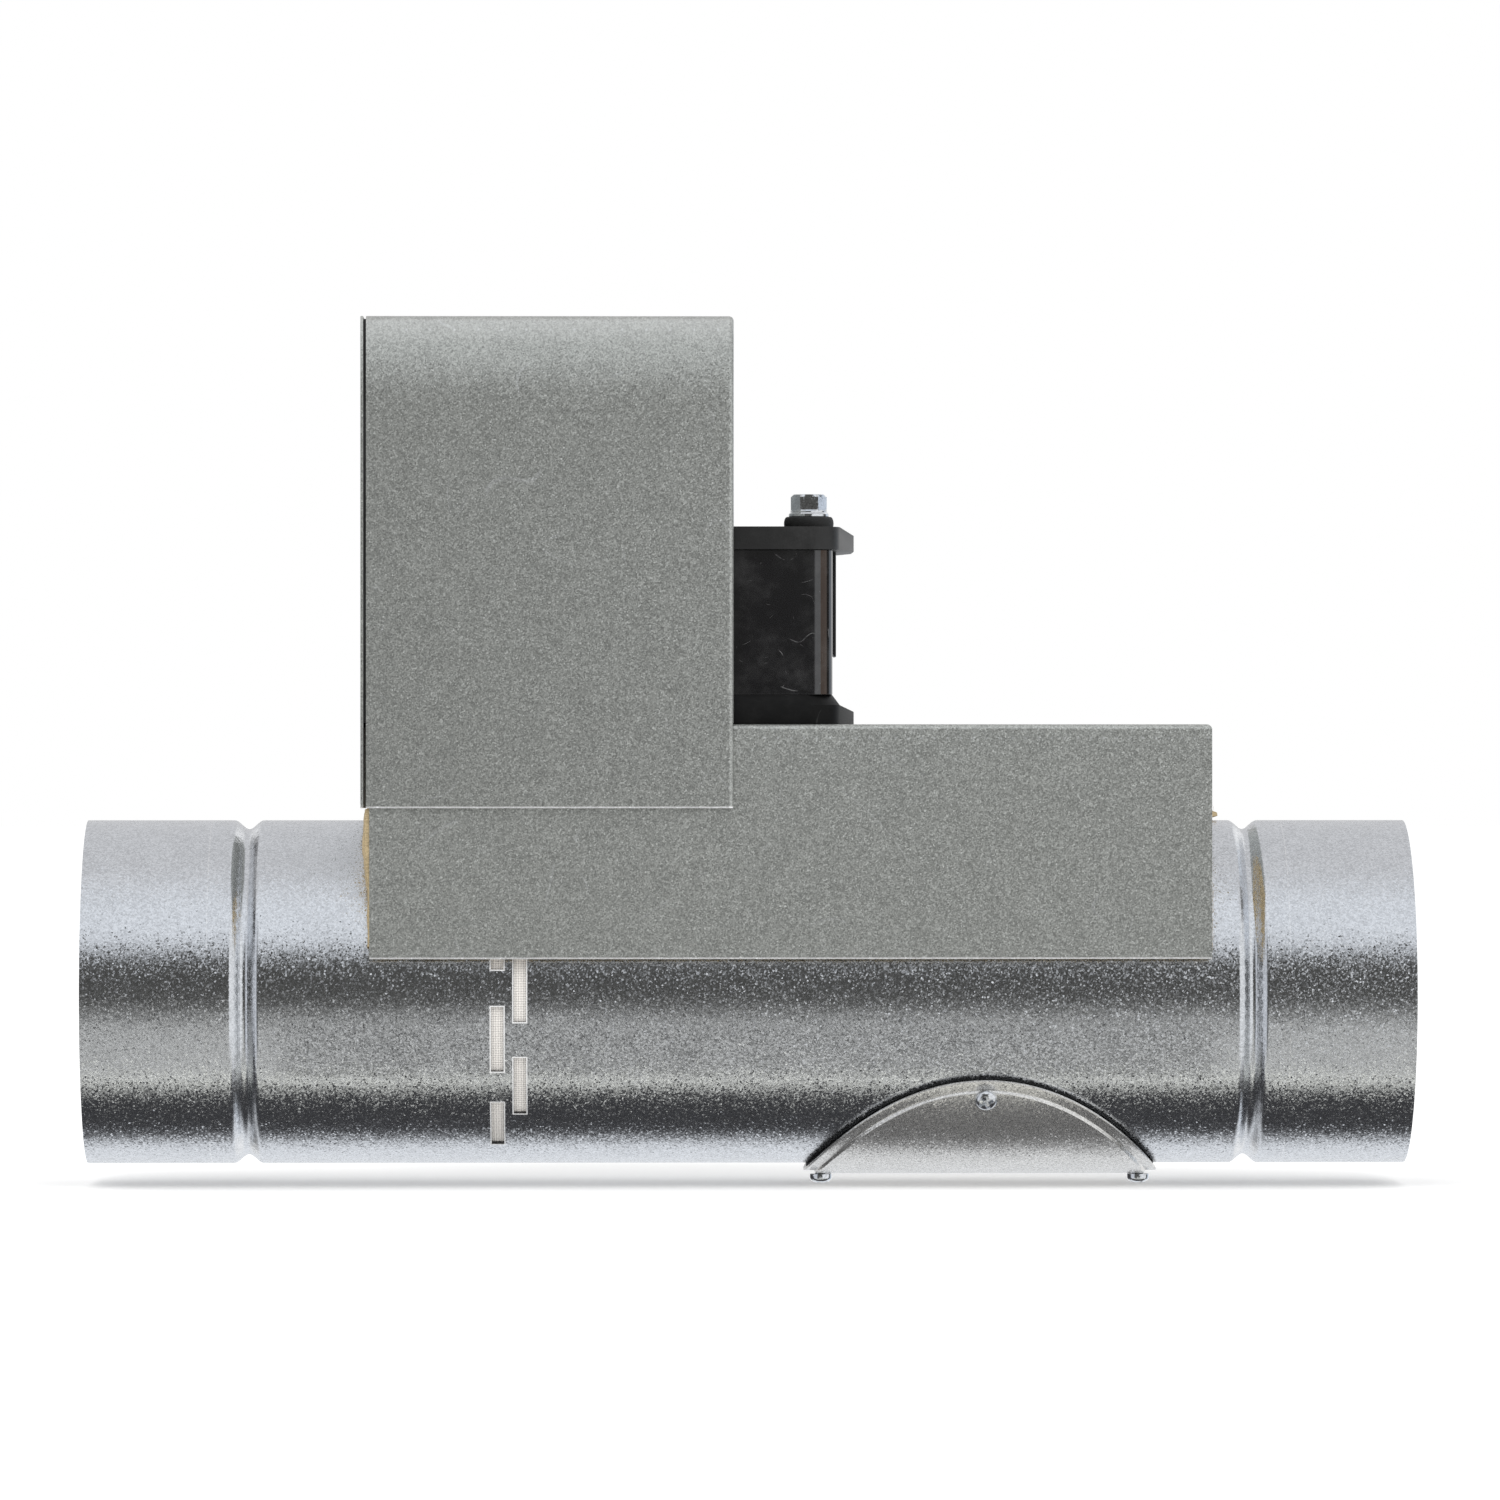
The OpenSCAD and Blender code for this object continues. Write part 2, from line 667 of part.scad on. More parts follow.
module drive_base() {
    color("black") difference() {
        translate([0, 0, housing_top]) union() {
            hull() {
                linear_extrude(base_tip_t, $fn = 32) drive_plan(drive_lip, true);
                linear_extrude(base_ear_t, $fn = 32) drive_plan(drive_lip, false);
            }
            hull() {
                linear_extrude(base_ear_t, $fn = 32) drive_plan(drive_lip, false);
                linear_extrude(base_t, $fn = 32) drive_plan(0, false);
            }
        }
        drive_holes();
    }
}

module drive_body() {
    color("black") difference() {
        translate([0, 0, base_top]) linear_extrude(body_h)
            round_rect(drive_x0, drive_x1, drive_half, drive_r);
        drive_holes();
    }
}

module drive_lid() {
    color("black") difference() {
        translate([0, 0, body_top]) union() {
            linear_extrude(lid_ear_t) drive_plan(drive_lip, true);
            hull() {
                linear_extrude(lid_ear_t, $fn = 32) drive_plan(drive_lip, true);
                linear_extrude(lid_t, $fn = 32) drive_plan(drive_lip, false);
            }
        }
        drive_holes();
    }
}

module drive_clip() {
    x = drive_x1 + seat_gap;
    color("black") translate([0, clip_w / 2, 0]) rotate([90, 0, 0]) linear_extrude(clip_w)
        polygon([[x, body_top], [x + clip_t, body_top],
            [x + clip_t, body_top - clip_l], [x, body_top - clip_l + clip_t]]);
}

module drive_screw() {
    z = lid_top + washer_t;
    color("lightgray") translate([bolt_x, 0, 0]) {
        bar(bolt_collar_d / 2, z, z + bolt_collar_t);
        translate([0, 0, z + bolt_collar_t])
            cylinder(r = bolt_af / sqrt(3), h = bolt_head_h, $fn = 6);
        bar(bolt_r, housing_in_top - bolt_tip + bolt_d, z);
        translate([0, 0, housing_in_top - bolt_tip]) cylinder(r1 = bolt_r / 4, r2 = bolt_r, h = bolt_d);
    }
}

module drive_screw_washer() {
    color("black") translate([bolt_x, 0, 0]) difference() {
        bar(washer_d / 2, lid_top, lid_top + washer_t);
        bar(bolt_hole_r, lid_top - over, lid_top + washer_t + over);
    }
}

// Quarter ring with a tick slot every fifteen degrees, printed plate beside the pointer
module position_scale() {
    inner = hub_r + hub_rise;
    outer = pointer_r + hub_rise;
    color("white") translate([shaft_x, 0, lid_top]) difference() {
        linear_extrude(hub_rise / 2) difference() {
            intersection() {
                circle(r = outer);
                translate([-hub_rise, -hub_rise]) square(outer + hub_rise);
            }
            circle(r = inner);
            for (turn = [0:15:90])
                rotate(turn) translate([pointer_r - hub_rise, -pointer_t / 4])
                    square([hub_rise, pointer_t / 2]);
        }
    }
}

// Folded shell of the drive cover: three rounded outlines meet in it
module cover_form(half, x0, x1, z0, z1, r) {
    intersection() {
        translate([x0, 0, 0]) rotate([90, 0, 90]) linear_extrude(x1 - x0) arch_rect(half, z0, z1, r);
        translate([0, 0, z0]) linear_extrude(z1 - z0) round_rect(x0 - 2 * r, x1, half, r);
        translate([0, half, 0]) rotate([90, 0, 0]) linear_extrude(2 * half) {
            translate([x0, z0]) square([x1 - x0 - r, z1 - z0]);
            translate([x0, z0]) square([x1 - x0, z1 - z0 - r]);
            translate([x1 - r, z1 - r]) circle(r = r);
        }
    }
}

module drive_cover() {
    color("darkgray") difference() {
        cover_form(cover_half, cover_x0, cover_x1, cover_z0, cover_top, bend_r);
        cover_form(cover_in_half, cover_x0 + sheet_t, cover_x1 - sheet_t, cover_z0 - over,
            cover_top - sheet_t, bend_r - sheet_t);
        translate([cover_x0 - over, 0, 0]) rotate([90, 0, 90]) linear_extrude(sheet_t + 2 * over) {
            translate([-cover_in_half, cover_z0 - over])
                square([2 * cover_in_half, cover_lap + cover_flange / 3 + over]);
            translate([-cover_half + cover_flange, cover_z0])
                square([cover_half - cover_flange + cover_in_half, flange_top - cover_z0]);
        }
        translate([cover_x1 - sheet_t - over, -cover_in_half, cover_z0 - over])
            cube([sheet_t + 2 * over, 2 * cover_in_half, cover_lap + seat_gap + over]);
        translate([cover_x1 - sheet_t - over, -port_half, cover_z0])
            cube([sheet_t + 2 * over, 2 * port_half, port_top - cover_z0]);
        at_flange_screws(cover_half) cylinder(r = screw_r + hole_gap, h = 4 * over, center = true);
        at_lap_screws(cover_half) cylinder(r = screw_r + hole_gap, h = 2 * sheet_t + over, center = true);
        at_grommets() cylinder(r = grommet_hole_d / 2, h = 4 * over, center = true);
    }
}

// Places a child at each screw in the end plate's back flange, with its up side towards +Y
module at_flange_screws(y) {
    for (z = cover_screw_z)
        translate([flange_screw_x, y, z]) rotate([-90, 0, 0]) children();
}

// Places a child at each screw in the back of the low housing, with its up side towards +Y
module at_lap_screws(y) {
    for (x = [cover_x0 + lap_screw_in, cover_x1 - lap_screw_in])
        translate([x, y, housing_top - cover_lap / 2]) rotate([-90, 0, 0]) children();
}

// Outline with two round corners on its left side
module left_round_rect(x0, x1, z0, z1, r) {
    translate([x0 + r, z0]) square([x1 - x0 - r, z1 - z0]);
    translate([x0, z0 + r]) square([x1 - x0, z1 - z0 - 2 * r]);
    for (z = [z0 + r, z1 - r])
        translate([x0 + r, z]) circle(r = r);
}

// Flat plate spot-welded to the low housing's end flange, with one flange along the cover's back wall
module end_plate() {
    flange_y = cover_in_half - seat_gap;
    flange_z0 = housing_top + seat_gap;
    color("darkgray") difference() {
        union() {
            translate([plate_x, 0, 0]) rotate([90, 0, 90]) linear_extrude(sheet_t)
                left_round_rect(-cover_half, flange_y - bend_r, cover_z0, cover_top, bend_r);
            translate([plate_x, flange_y, flange_z0]) linear_extrude(flange_top - seat_gap - flange_z0)
                folded_sheet(sheet_t + plate_flange_l, 2 * bend_r);
        }
        at_flange_screws(cover_half) cylinder(r = screw_r + run_gap, h = 4 * over, center = true);
    }
}

// Places a child at each cable entry, with its up side towards +Y, in the middle of the cover's back wall
module at_grommets() {
    for (side = [-1, 1])
        translate([grommet_x + side * grommet_span / 2, cover_half - sheet_t / 2, grommet_z])
            rotate([-90, 0, 0]) children();
}

// Gasket strip in front of the cover's inner flange: up the front and along the top
module cover_gasket() {
    z0 = housing_top + seat_gap;
    color("black")
        translate([plate_in_x, 0, 0]) rotate([90, 0, 90]) linear_extrude(cover_gasket_t) difference() {
            arch_rect(cover_half - sheet_t, z0, cover_top - sheet_t, bend_r);
            translate([-cover_half + cover_flange, z0 - over])
                square([2 * cover_half, flange_top + seat_gap - z0 + over]);
        }
}

module cover_screws() {
    color("lightgray") {
        at_flange_screws(cover_half + seat_gap / 2) pan_screw(screw_head_r, screw_head_h, screw_r, screw_l);
        at_lap_screws(cover_half + seat_gap / 2) pan_screw(screw_head_r, screw_head_h, screw_r, screw_l);
    }
}

// Closed rubber grommet: two lips on the sheet, a waist in its hole and a stepped, closed snout outside
module cable_grommets() {
    lip_r = grommet_d / 2;
    waist_r = grommet_hole_d / 2 - hole_gap;
    wall = grommet_out / 2;
    half_t = sheet_t / 2;
    color("dimgray") at_grommets() rotate_extrude()
        polygon([[0, half_t + grommet_out], [waist_r - 2 * wall, half_t + grommet_out],
            [waist_r - wall, half_t + wall], [lip_r, half_t + wall], [lip_r, half_t], [waist_r, half_t],
            [waist_r, -half_t], [lip_r - hole_gap, -half_t], [lip_r - wall, -half_t - wall],
            [waist_r - wall, -half_t - wall], [waist_r - wall, 0], [waist_r - 2 * wall, half_t + wall],
            [0, half_t + wall]]);
}

// Places a child at the middle of each pole, on the face of the terminal block
module at_poles() {
    for (i = [0:pole_count - 1])
        translate([plate_in_x + block_depth, (i - (pole_count - 1) / 2) * pole_w, block_z]) children();
}

module terminal_block() {
    rib = pole_w / 8;
    color("ivory") difference() {
        translate([plate_in_x, -pole_count * pole_w / 2 - rib, block_z])
            cube([block_depth, pole_count * pole_w + 2 * rib, block_h]);
        at_poles() {
            translate([-block_depth / 2, -pole_w / 2 + rib / 2, -over])
                cube([block_depth, pole_w - rib, block_h / 3 + over]);
            translate([-block_depth / 2, 0, block_h * 2 / 3]) rotate([0, 90, 0])
                cylinder(r = pole_screw_d / 2 + hole_gap, h = block_depth);
        }
    }
}

module terminal_screws() {
    color("silver") at_poles() translate([-block_depth / 2, 0, block_h * 2 / 3]) rotate([0, 90, 0])
        difference() {
            cylinder(r = pole_screw_d / 2, h = block_depth / 3);
            translate([-pole_screw_d, -pole_screw_d / 10, block_depth / 4])
                cube([2 * pole_screw_d, pole_screw_d / 5, block_depth]);
        }
}

// Cylinder across the duct, through the axis of the shaft
module across(r, half) {
    translate([shaft_x, half, 0]) rotate([90, 0, 0]) cylinder(r = r, h = 2 * half);
}

// Places a child at each cross screw, with its up side towards -Y
module at_cross_screws() {
    for (side = [-1, 1])
        translate([shaft_x, 0, side * cross_z]) rotate([90, 0, 0]) children();
}

module cross_holes(gap) {
    at_cross_screws() cylinder(r = cross_r + gap, h = duct_d, center = true);
}

module blade_board() {
    groove_r = blade_r - seal_depth;
    color("whitesmoke") difference() {
        across(blade_r, blade_face);
        difference() {
            across(blade_r + over, seal_w / 2);
            across(groove_r, seal_w);
        }
        translate([shaft_x, 0, 0]) bar(bearing_r, -duct_r, duct_r);
        for (side = [-1, 1])
            translate([shaft_x, 0, side * (nose_z - seat_gap + duct_r) / 2])
                cylinder(r = notch_r, h = duct_r - nose_z + seat_gap, center = true);
        cross_holes(run_gap);
    }
}

module blade_seal() {
    color("black") difference() {
        across(cloth_in_r - seal_gap, seal_w / 2);
        across(blade_r - seal_depth + seat_gap, seal_w);
        translate([shaft_x, 0, 0]) bar(notch_r + seat_gap, -duct_r, duct_r);
    }
}

module blade_straps() {
    color("silver") difference() {
        for (side = [-1, 1])
            translate([shaft_x - strap_w / 2, side * (blade_face + strap_t / 2) - strap_t / 2, -strap_l / 2])
                cube([strap_w, strap_t, strap_l]);
        cross_holes(run_gap);
    }
}

module blade_shaft() {
    color("silver") difference() {
        translate([shaft_x, 0, 0]) bar(shaft_r, cup_bore_z + seat_gap, shaft_top);
        cross_holes(run_gap);
    }
}

module cross_screws() {
    color("lightgray") at_cross_screws() translate([0, 0, strap_face])
        pan_screw(cross_head_r, cross_head_h, cross_r, 2 * strap_face + cross_nut_h + cross_r / 2);
}

module cross_nuts() {
    color("lightgray") at_cross_screws() translate([0, 0, -strap_face - cross_nut_h]) difference() {
        cylinder(r = cross_head_r, h = cross_nut_h, $fn = 6);
        translate([0, 0, -over]) cylinder(r = cross_r + run_gap, h = cross_nut_h + 2 * over);
    }
}

module drive_hub() {
    color("silver") translate([shaft_x, 0, 0]) difference() {
        bar(hub_r, housing_top + seat_gap, hub_top);
        bar(bearing_r, housing_top, hub_top + over);
    }
}

// Flat pointer: a washer under the clamp with a tapered finger along +X
module position_pointer() {
    color("red") translate([shaft_x, 0, hub_top]) linear_extrude(pointer_t) difference() {
        union() {
            circle(r = hub_r);
            polygon([[0, -hub_r / 2], [pointer_r, -pointer_t], [pointer_r, pointer_t], [0, hub_r / 2]]);
        }
        circle(r = bearing_r);
    }
}

// Block with a right-angled notch that grips the shaft
module hub_clamp() {
    reach = (shaft_r + seat_gap) * sqrt(2);
    color("silver") translate([shaft_x, 0, pointer_top]) difference() {
        linear_extrude(clamp_h) difference() {
            translate([-clamp_w / 2, clamp_front - shaft_r]) square([clamp_w, clamp_depth + shaft_r]);
            polygon([[0, -reach], [reach, 0], [-reach, 0]]);
        }
        for (side = [-1, 1])
            translate([side * u_ring_r, 0, clamp_h / 2]) rotate([90, 0, 0])
                cylinder(r = u_rod_r + hole_gap, h = clamp_depth + 4 * shaft_r);
    }
}

module u_bolt() {
    front = clamp_front - shaft_r;
    color("lightgray") translate([shaft_x, 0, u_z]) {
        rotate_extrude(angle = 180) translate([u_ring_r, 0]) circle(r = u_rod_r, $fn = 32);
        for (side = [-1, 1])
            translate([side * u_ring_r, 0, 0]) rotate([90, 0, 0]) cylinder(r = u_rod_r, h = u_tail - front);
    }
}

module clamp_nuts() {
    front = clamp_front - shaft_r;
    color("lightgray")
        for (side = [-1, 1])
            translate([shaft_x + side * u_ring_r, front, u_z]) rotate([90, 0, 0]) difference() {
                cylinder(r = nut_af / sqrt(3), h = nut_h, $fn = 6);
                translate([0, 0, -over]) cylinder(r = u_rod_r + run_gap, h = nut_h + 2 * over);
            }
}

duct_body();
glass_cloth();
intumescent_strips();
upper_bush();
pivot_cup();
inspection_gasket();
inspection_cover();
inspection_screws();
low_housing();
saddle_brackets();
mineral_wool();
drive_base();
drive_body();
drive_lid();
drive_clip();
drive_screw();
drive_screw_washer();
position_scale();
drive_cover();
end_plate();
cover_gasket();
cover_screws();
cable_grommets();
terminal_block();
terminal_screws();
blade_board();
blade_seal();
blade_straps();
blade_shaft();
cross_screws();
cross_nuts();
drive_hub();
position_pointer();
hub_clamp();
u_bolt();
clamp_nuts();
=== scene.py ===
"""Looks of a round duct fire damper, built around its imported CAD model."""

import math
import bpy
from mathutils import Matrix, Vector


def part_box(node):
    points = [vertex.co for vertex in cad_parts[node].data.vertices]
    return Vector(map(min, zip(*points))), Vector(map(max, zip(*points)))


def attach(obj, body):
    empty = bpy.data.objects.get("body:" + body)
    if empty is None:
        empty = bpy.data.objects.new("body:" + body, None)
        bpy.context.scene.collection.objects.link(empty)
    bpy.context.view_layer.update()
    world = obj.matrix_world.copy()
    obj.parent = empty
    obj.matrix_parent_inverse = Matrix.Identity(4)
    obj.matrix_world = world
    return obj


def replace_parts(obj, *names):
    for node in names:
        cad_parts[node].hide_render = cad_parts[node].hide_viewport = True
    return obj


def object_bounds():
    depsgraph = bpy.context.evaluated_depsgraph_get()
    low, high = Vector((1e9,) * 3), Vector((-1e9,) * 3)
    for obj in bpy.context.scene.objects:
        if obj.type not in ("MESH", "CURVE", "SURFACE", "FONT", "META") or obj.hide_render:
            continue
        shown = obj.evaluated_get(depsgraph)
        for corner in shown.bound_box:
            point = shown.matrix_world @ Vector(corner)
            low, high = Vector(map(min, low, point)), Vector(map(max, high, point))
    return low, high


bl_info = {
    "name": "Round Duct Fire Damper",
    "version": (1, 0, 0),
    "blender": (4, 5, 0),
    "location": "View3D > Sidebar > Damper",
    "description": "Builds the visible pieces, finishes and studio of a round duct fire damper",
    "category": "Object",
}

import bmesh
import bpy
import numpy as np
from bpy.props import FloatProperty, FloatVectorProperty, IntProperty, PointerProperty

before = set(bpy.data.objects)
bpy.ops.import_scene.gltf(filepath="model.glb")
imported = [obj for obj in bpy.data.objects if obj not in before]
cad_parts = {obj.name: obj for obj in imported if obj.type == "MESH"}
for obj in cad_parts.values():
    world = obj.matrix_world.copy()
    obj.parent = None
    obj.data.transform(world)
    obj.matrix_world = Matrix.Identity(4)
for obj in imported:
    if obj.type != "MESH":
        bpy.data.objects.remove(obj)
CAD_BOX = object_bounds()
MM = 0.001
WHITE = (1.0, 1.0, 1.0, 1.0)
CASING = "casing"
BLADE = "blade"


def span(node_name):
    """Lowest and highest corner of a CAD node, in millimetres."""
    low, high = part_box(node_name)
    return np.array(low) / MM, np.array(high) / MM


def middle_x(node_name):
    """X of the middle of a CAD node, in millimetres."""
    return float(np.mean(span(node_name), axis=0)[0])


DUCT_L, _, DUCT_R = map(float, span("duct_body")[1])
SHAFT_X = middle_x("blade_shaft")
BOLT_X = middle_x("drive_screw")
INSPECTION_X = middle_x("inspection_cover")
HOUSING_TOP = float(span("low_housing")[1][2])
COVER_LOW, COVER_HIGH = span("drive_cover")


# Sizes and colours that a user may change


def size(label, text, default, low=0.0, high=1000.0):
    """A length in millimetres."""
    return FloatProperty(name=label, description=text, default=default, min=low, max=high)


def tone(label, text, default):
    """A linear colour."""
    return FloatVectorProperty(name=label, description=text, default=default, size=3, min=0.0, max=1.0,
                               subtype="COLOR")


def amount(label, text, default, low=0.0, unit="NONE"):
    """A plain value, or a value in one of the program's own units."""
    return FloatProperty(name=label, description=text, default=default, min=low, unit=unit)


class DamperSheetSettings(bpy.types.PropertyGroup):
    bead_x: size("Bead place", "Distance from each duct end to the middle of its bead", 46.5)
    bead_w: size("Bead width", "Width of a bead", 8.6)
    bead_depth: size("Bead depth", "Depth of a bead", 2.5)
    slot_burr: size("Slot rim", "Width of the bright pressed rim round a slot", 0.35)
    slot_w: size("Slot width", "Width of a slot along the duct", 3.6)
    slot_l: size("Slot length", "Length of a slot round the duct", 19.3)
    slot_first: size("First slot", "Arc from the duct's bottom line to the left row's first slot", 35.1)
    slot_pitch: size("Slot pitch", "Distance round the duct between two slots of a row", 29.9)
    row_gap: size("Row gap", "Distance between the two rows of slots", 6.4)
    slot_band: size("Slot band", "Width of the band of wall that holds the slots", 11.2)
    slot_lift: amount("Slot lift", "Degrees by which the slots sit higher than the solid's", 5.1)
    slot_free: amount("Slot-free angle", "Degrees from the bottom line that hold no slot", 22.0)
    # Painted shade: strength of the darker band painted under the duct's middle.
    painted_shade_depth: amount("Painted shade band", "How much darker the dark crystals are under the middle", 0.7)
    cut_edge: size("Cut edge", "Width of the bright rounded edge of the folded sheets", 0.27)
    scribe_x: size("Scribed ring", "Distance from each duct end to the push-in mark", 36.0)
    duct_colour: tone("Duct zinc", "Colour of the duct's zinc", (0.80, 0.82, 0.85))
    sheet_colour: tone("Sheet zinc", "Colour of the folded sheets' zinc", (0.545, 0.56, 0.535))
    cover_colour: tone("Cover zinc", "Colour of the inspection cover's zinc", (0.88, 0.87, 0.85))
    # Colour of the cut steel edges, partly a painted highlight on their downward faces.
    cut_edge_highlight_colour: tone("Cut edge colour", "Colour of the freshly cut sheet edges", (0.86, 0.87, 0.86))


class DamperInspectionSettings(bpy.types.PropertyGroup):
    length: size("Length", "Length of the oval blank along the duct", 102.0)
    arc: size("Arc", "Length of the oval blank round the duct", 110.0)
    sheet: size("Sheet", "Thickness of the blank", 0.8)
    rim: size("Rim", "Width of the rim that lies on the gasket", 3.0)
    step: size("Step", "Height of the field above the rim", 0.9)
    rim_r: size("Rim radius", "Distance from the duct's axis to the underside of the rim", 50.9)
    screw_in: size("Screw inset", "Distance from the edge of the blank to each screw", 5.1)


class DamperScrewSettings(bpy.types.PropertyGroup):
    head_r: size("Pan head radius", "Radius of a pan head", 3.2)
    head_h: size("Pan head height", "Height of a pan head", 2.6)
    shank_r: size("Shank radius", "Outer radius of the small screws' thread", 1.75)
    length: size("Shank length", "Length of the small screws below the head", 9.5)
    pitch: size("Thread pitch", "Pitch of the small screws' thread", 1.3)
    flats: size("Hex across flats", "Width across the flats of the drive screw's head", 9.0)
    colour: tone("Bright zinc", "Colour of the bright plated screws", (0.82, 0.84, 0.87))


class DamperDriveSettings(bpy.types.PropertyGroup):
    plate_round: size("Plate rounding", "Radius on the edges of the drive's base plate and lid", 0.7)
    body_round: size("Body rounding", "Radius on the edges of the drive's body", 0.25)
    shell_colour: tone("Shell", "Colour of the matt black plates", (0.016, 0.016, 0.016))
    body_colour: tone("Body", "Colour of the glossy black body", (0.004, 0.004, 0.005))
    rubber_colour: tone("Rubber", "Colour of the washer, gaskets and grommets", (0.012, 0.012, 0.012))


class DamperInsulationSettings(bpy.types.PropertyGroup):
    fluff: size("Fluff", "Height of the tufts on the wool's left end", 0.9)
    set_back: size("Set back", "How far the packed wool lies behind its tufts", 0.2)
    slope: size("Slope", "How far the wool's left end falls back lower down", 1.4)
    crest: size("Crest", "Height of the tuft on top of the wool's right end", 5.0)
    strand_count: IntProperty(name="Strands", description="Loose fibres on each end of the wool",
                              default=200, min=0, max=2000)
    wool_colour: tone("Wool", "Colour of the mineral wool", (0.66, 0.52, 0.31))
    cloth_colour: tone("Cloth", "Colour of the glass cloth", (0.98, 0.94, 0.89))
    board_colour: tone("Board", "Colour of the blade's silicate board", (0.62, 0.59, 0.53))


class DamperStageSettings(bpy.types.PropertyGroup):
    distance: amount("Camera distance", "From the camera to the duct's axis", 2.6, 1.0, "LENGTH")
    camera_turn: amount("Camera turn", "How far the camera stands to the left, as an angle",
                        math.radians(1.0), -math.pi, "ROTATION")
    frame_width: amount("Frame width", "Width of the picture at the duct's axis", 0.4339, 0.1, "LENGTH")
    centre_x: amount("Picture centre X", "Place of the picture's centre", 0.1911, -10.0, "LENGTH")
    centre_z: amount("Picture centre Z", "Height of the picture's centre", 0.0698, -10.0, "LENGTH")
    fill: amount("Fill", "Level of the plain light from all sides", 0.93)
    stripes: amount("Stripes", "Contrast of the fine stripes that gloss mirrors from below", 0.85)
    lamp: amount("Lamp", "Power of the soft lamp above", 14.0, unit="POWER")


# Meshes


def closed_mesh(name, points, faces):
    """Mesh from points in millimetres: doubles merged, then every face turned outwards."""
    mesh = bpy.data.meshes.new(name)
    mesh.from_pydata((np.asarray(points, dtype=float) * MM).tolist(), [], np.asarray(faces).tolist())
    work = bmesh.new()
    work.from_mesh(mesh)
    bmesh.ops.remove_doubles(work, verts=work.verts, dist=1e-7)
    bmesh.ops.dissolve_degenerate(work, dist=1e-8, edges=work.edges)
    bmesh.ops.recalc_face_normals(work, faces=work.faces)
    work.to_mesh(mesh)
    work.free()
    return mesh


def grid_faces(rows, columns):
    """Four-sided faces of a grid of rows x columns points, whose last column is joined to the first."""
    row, column = np.meshgrid(np.arange(rows - 1), np.arange(columns), indexing="ij")
    beside = (column + 1) % columns
    below = row * columns
    above = below + columns
    return np.stack([below + column, below + beside, above + beside, above + column], axis=-1).reshape(-1, 4)


def show(name, mesh, body, slot_name, *materials, smooth_deg=38.0):
    """Links a mesh as a finished piece that rides on a body; edges sharper than smooth_deg stay sharp."""
    piece = bpy.data.objects.new(name, mesh)
    bpy.context.scene.collection.objects.link(piece)
    for material in materials:
        mesh.materials.append(material)
    mesh.polygons.foreach_set("use_smooth", np.ones(len(mesh.polygons), dtype=bool))
    mesh.set_sharp_from_angle(angle=math.radians(smooth_deg))
    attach(piece, body)
    return piece


def full_turn(steps):
    """Even angles of one turn, from 0."""
    return np.linspace(0, 2 * np.pi, steps, endpoint=False)


def round_points(radius, angle, height):
    """Points (radius cos angle, radius sin angle, height) of a grid."""
    radius, angle, height = np.broadcast_arrays(radius, angle, height)
    return np.stack([radius * np.cos(angle), radius * np.sin(angle), height], axis=-1)


def turned(profile, steps=96):
    """Body of revolution: each profile row (radius, height) is carried once round the +Z axis."""
    points = round_points(profile[:, :1], full_turn(steps), profile[:, 1:])
    return points.reshape(-1, 3), grid_faces(len(profile), steps)


def placed(points, origin, up, side=None):
    """Turns points so that their +Z lies along up (and +X along side), then moves them to origin."""
    up = np.array(up, dtype=float) / np.linalg.norm(up)
    side = np.array((1.0, 0.0, 0.0) if side is None else side, dtype=float)
    side = side - up * side.dot(up)
    side /= np.linalg.norm(side)
    basis = np.stack([side, np.cross(up, side), up])
    return np.asarray(points) @ basis + np.array(origin, dtype=float)


def joined(parts):
    """Puts several (points, faces) parts in one pair of arrays."""
    counts = np.cumsum([0] + [len(points) for points, _ in parts[:-1]])
    points = np.concatenate([points for points, _ in parts])
    faces = np.concatenate([faces + first for (_, faces), first in zip(parts, counts)])
    return points, faces


def vertex_places(mesh):
    """Every vertex of a mesh, in millimetres."""
    points = np.empty(len(mesh.vertices) * 3)
    mesh.vertices.foreach_get("co", points)
    return points.reshape(-1, 3) / MM


def mesh_from(work, name):
    """Named mesh from an open bmesh, which is freed."""
    mesh = bpy.data.meshes.new(name)
    work.to_mesh(mesh)
    work.free()
    return mesh


def merged_cad(node_name):
    """Copy of a CAD node's triangles with doubles merged and flat faces joined, as an open bmesh."""
    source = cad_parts[node_name].data
    points = vertex_places(source) * MM
    corners = np.empty(len(source.loops), dtype=np.int32)
    source.loops.foreach_get("vertex_index", corners)
    plain = bpy.data.meshes.new(node_name + "_plain")
    plain.from_pydata(points.tolist(), [], corners.reshape(-1, 3).tolist())
    work = bmesh.new()
    work.from_mesh(plain)
    bpy.data.meshes.remove(plain)
    bmesh.ops.remove_doubles(work, verts=work.verts, dist=2e-7)
    bmesh.ops.dissolve_limit(work, angle_limit=math.radians(0.1), verts=work.verts, edges=work.edges)
    return work


def edged_copy(node_name, name, width, body, slot_name, *materials, segments=2, corner_deg=40.0):
    """Copy of a CAD node that replaces it, with its sharp edges rounded by a Bevel modifier."""
    piece = show(name, mesh_from(merged_cad(node_name), name), body, slot_name, *materials)
    bevel = piece.modifiers.new("rounded_edges", "BEVEL")
    bevel.width = width * MM
    bevel.segments = segments
    bevel.limit_method = "ANGLE"
    bevel.angle_limit = math.radians(corner_deg)
    bevel.harden_normals = True
    bevel.material = len(materials) - 1
    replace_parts(piece, node_name)
    return piece


# Shader groups and materials


def feed(tree, made, inputs):
    """Sets a node's sockets from plain values or from other nodes' outputs."""
    for socket, value in inputs.items():
        if isinstance(value, bpy.types.NodeSocket):
            tree.links.new(value, made.inputs[socket])
        else:
            made.inputs[socket].default_value = value


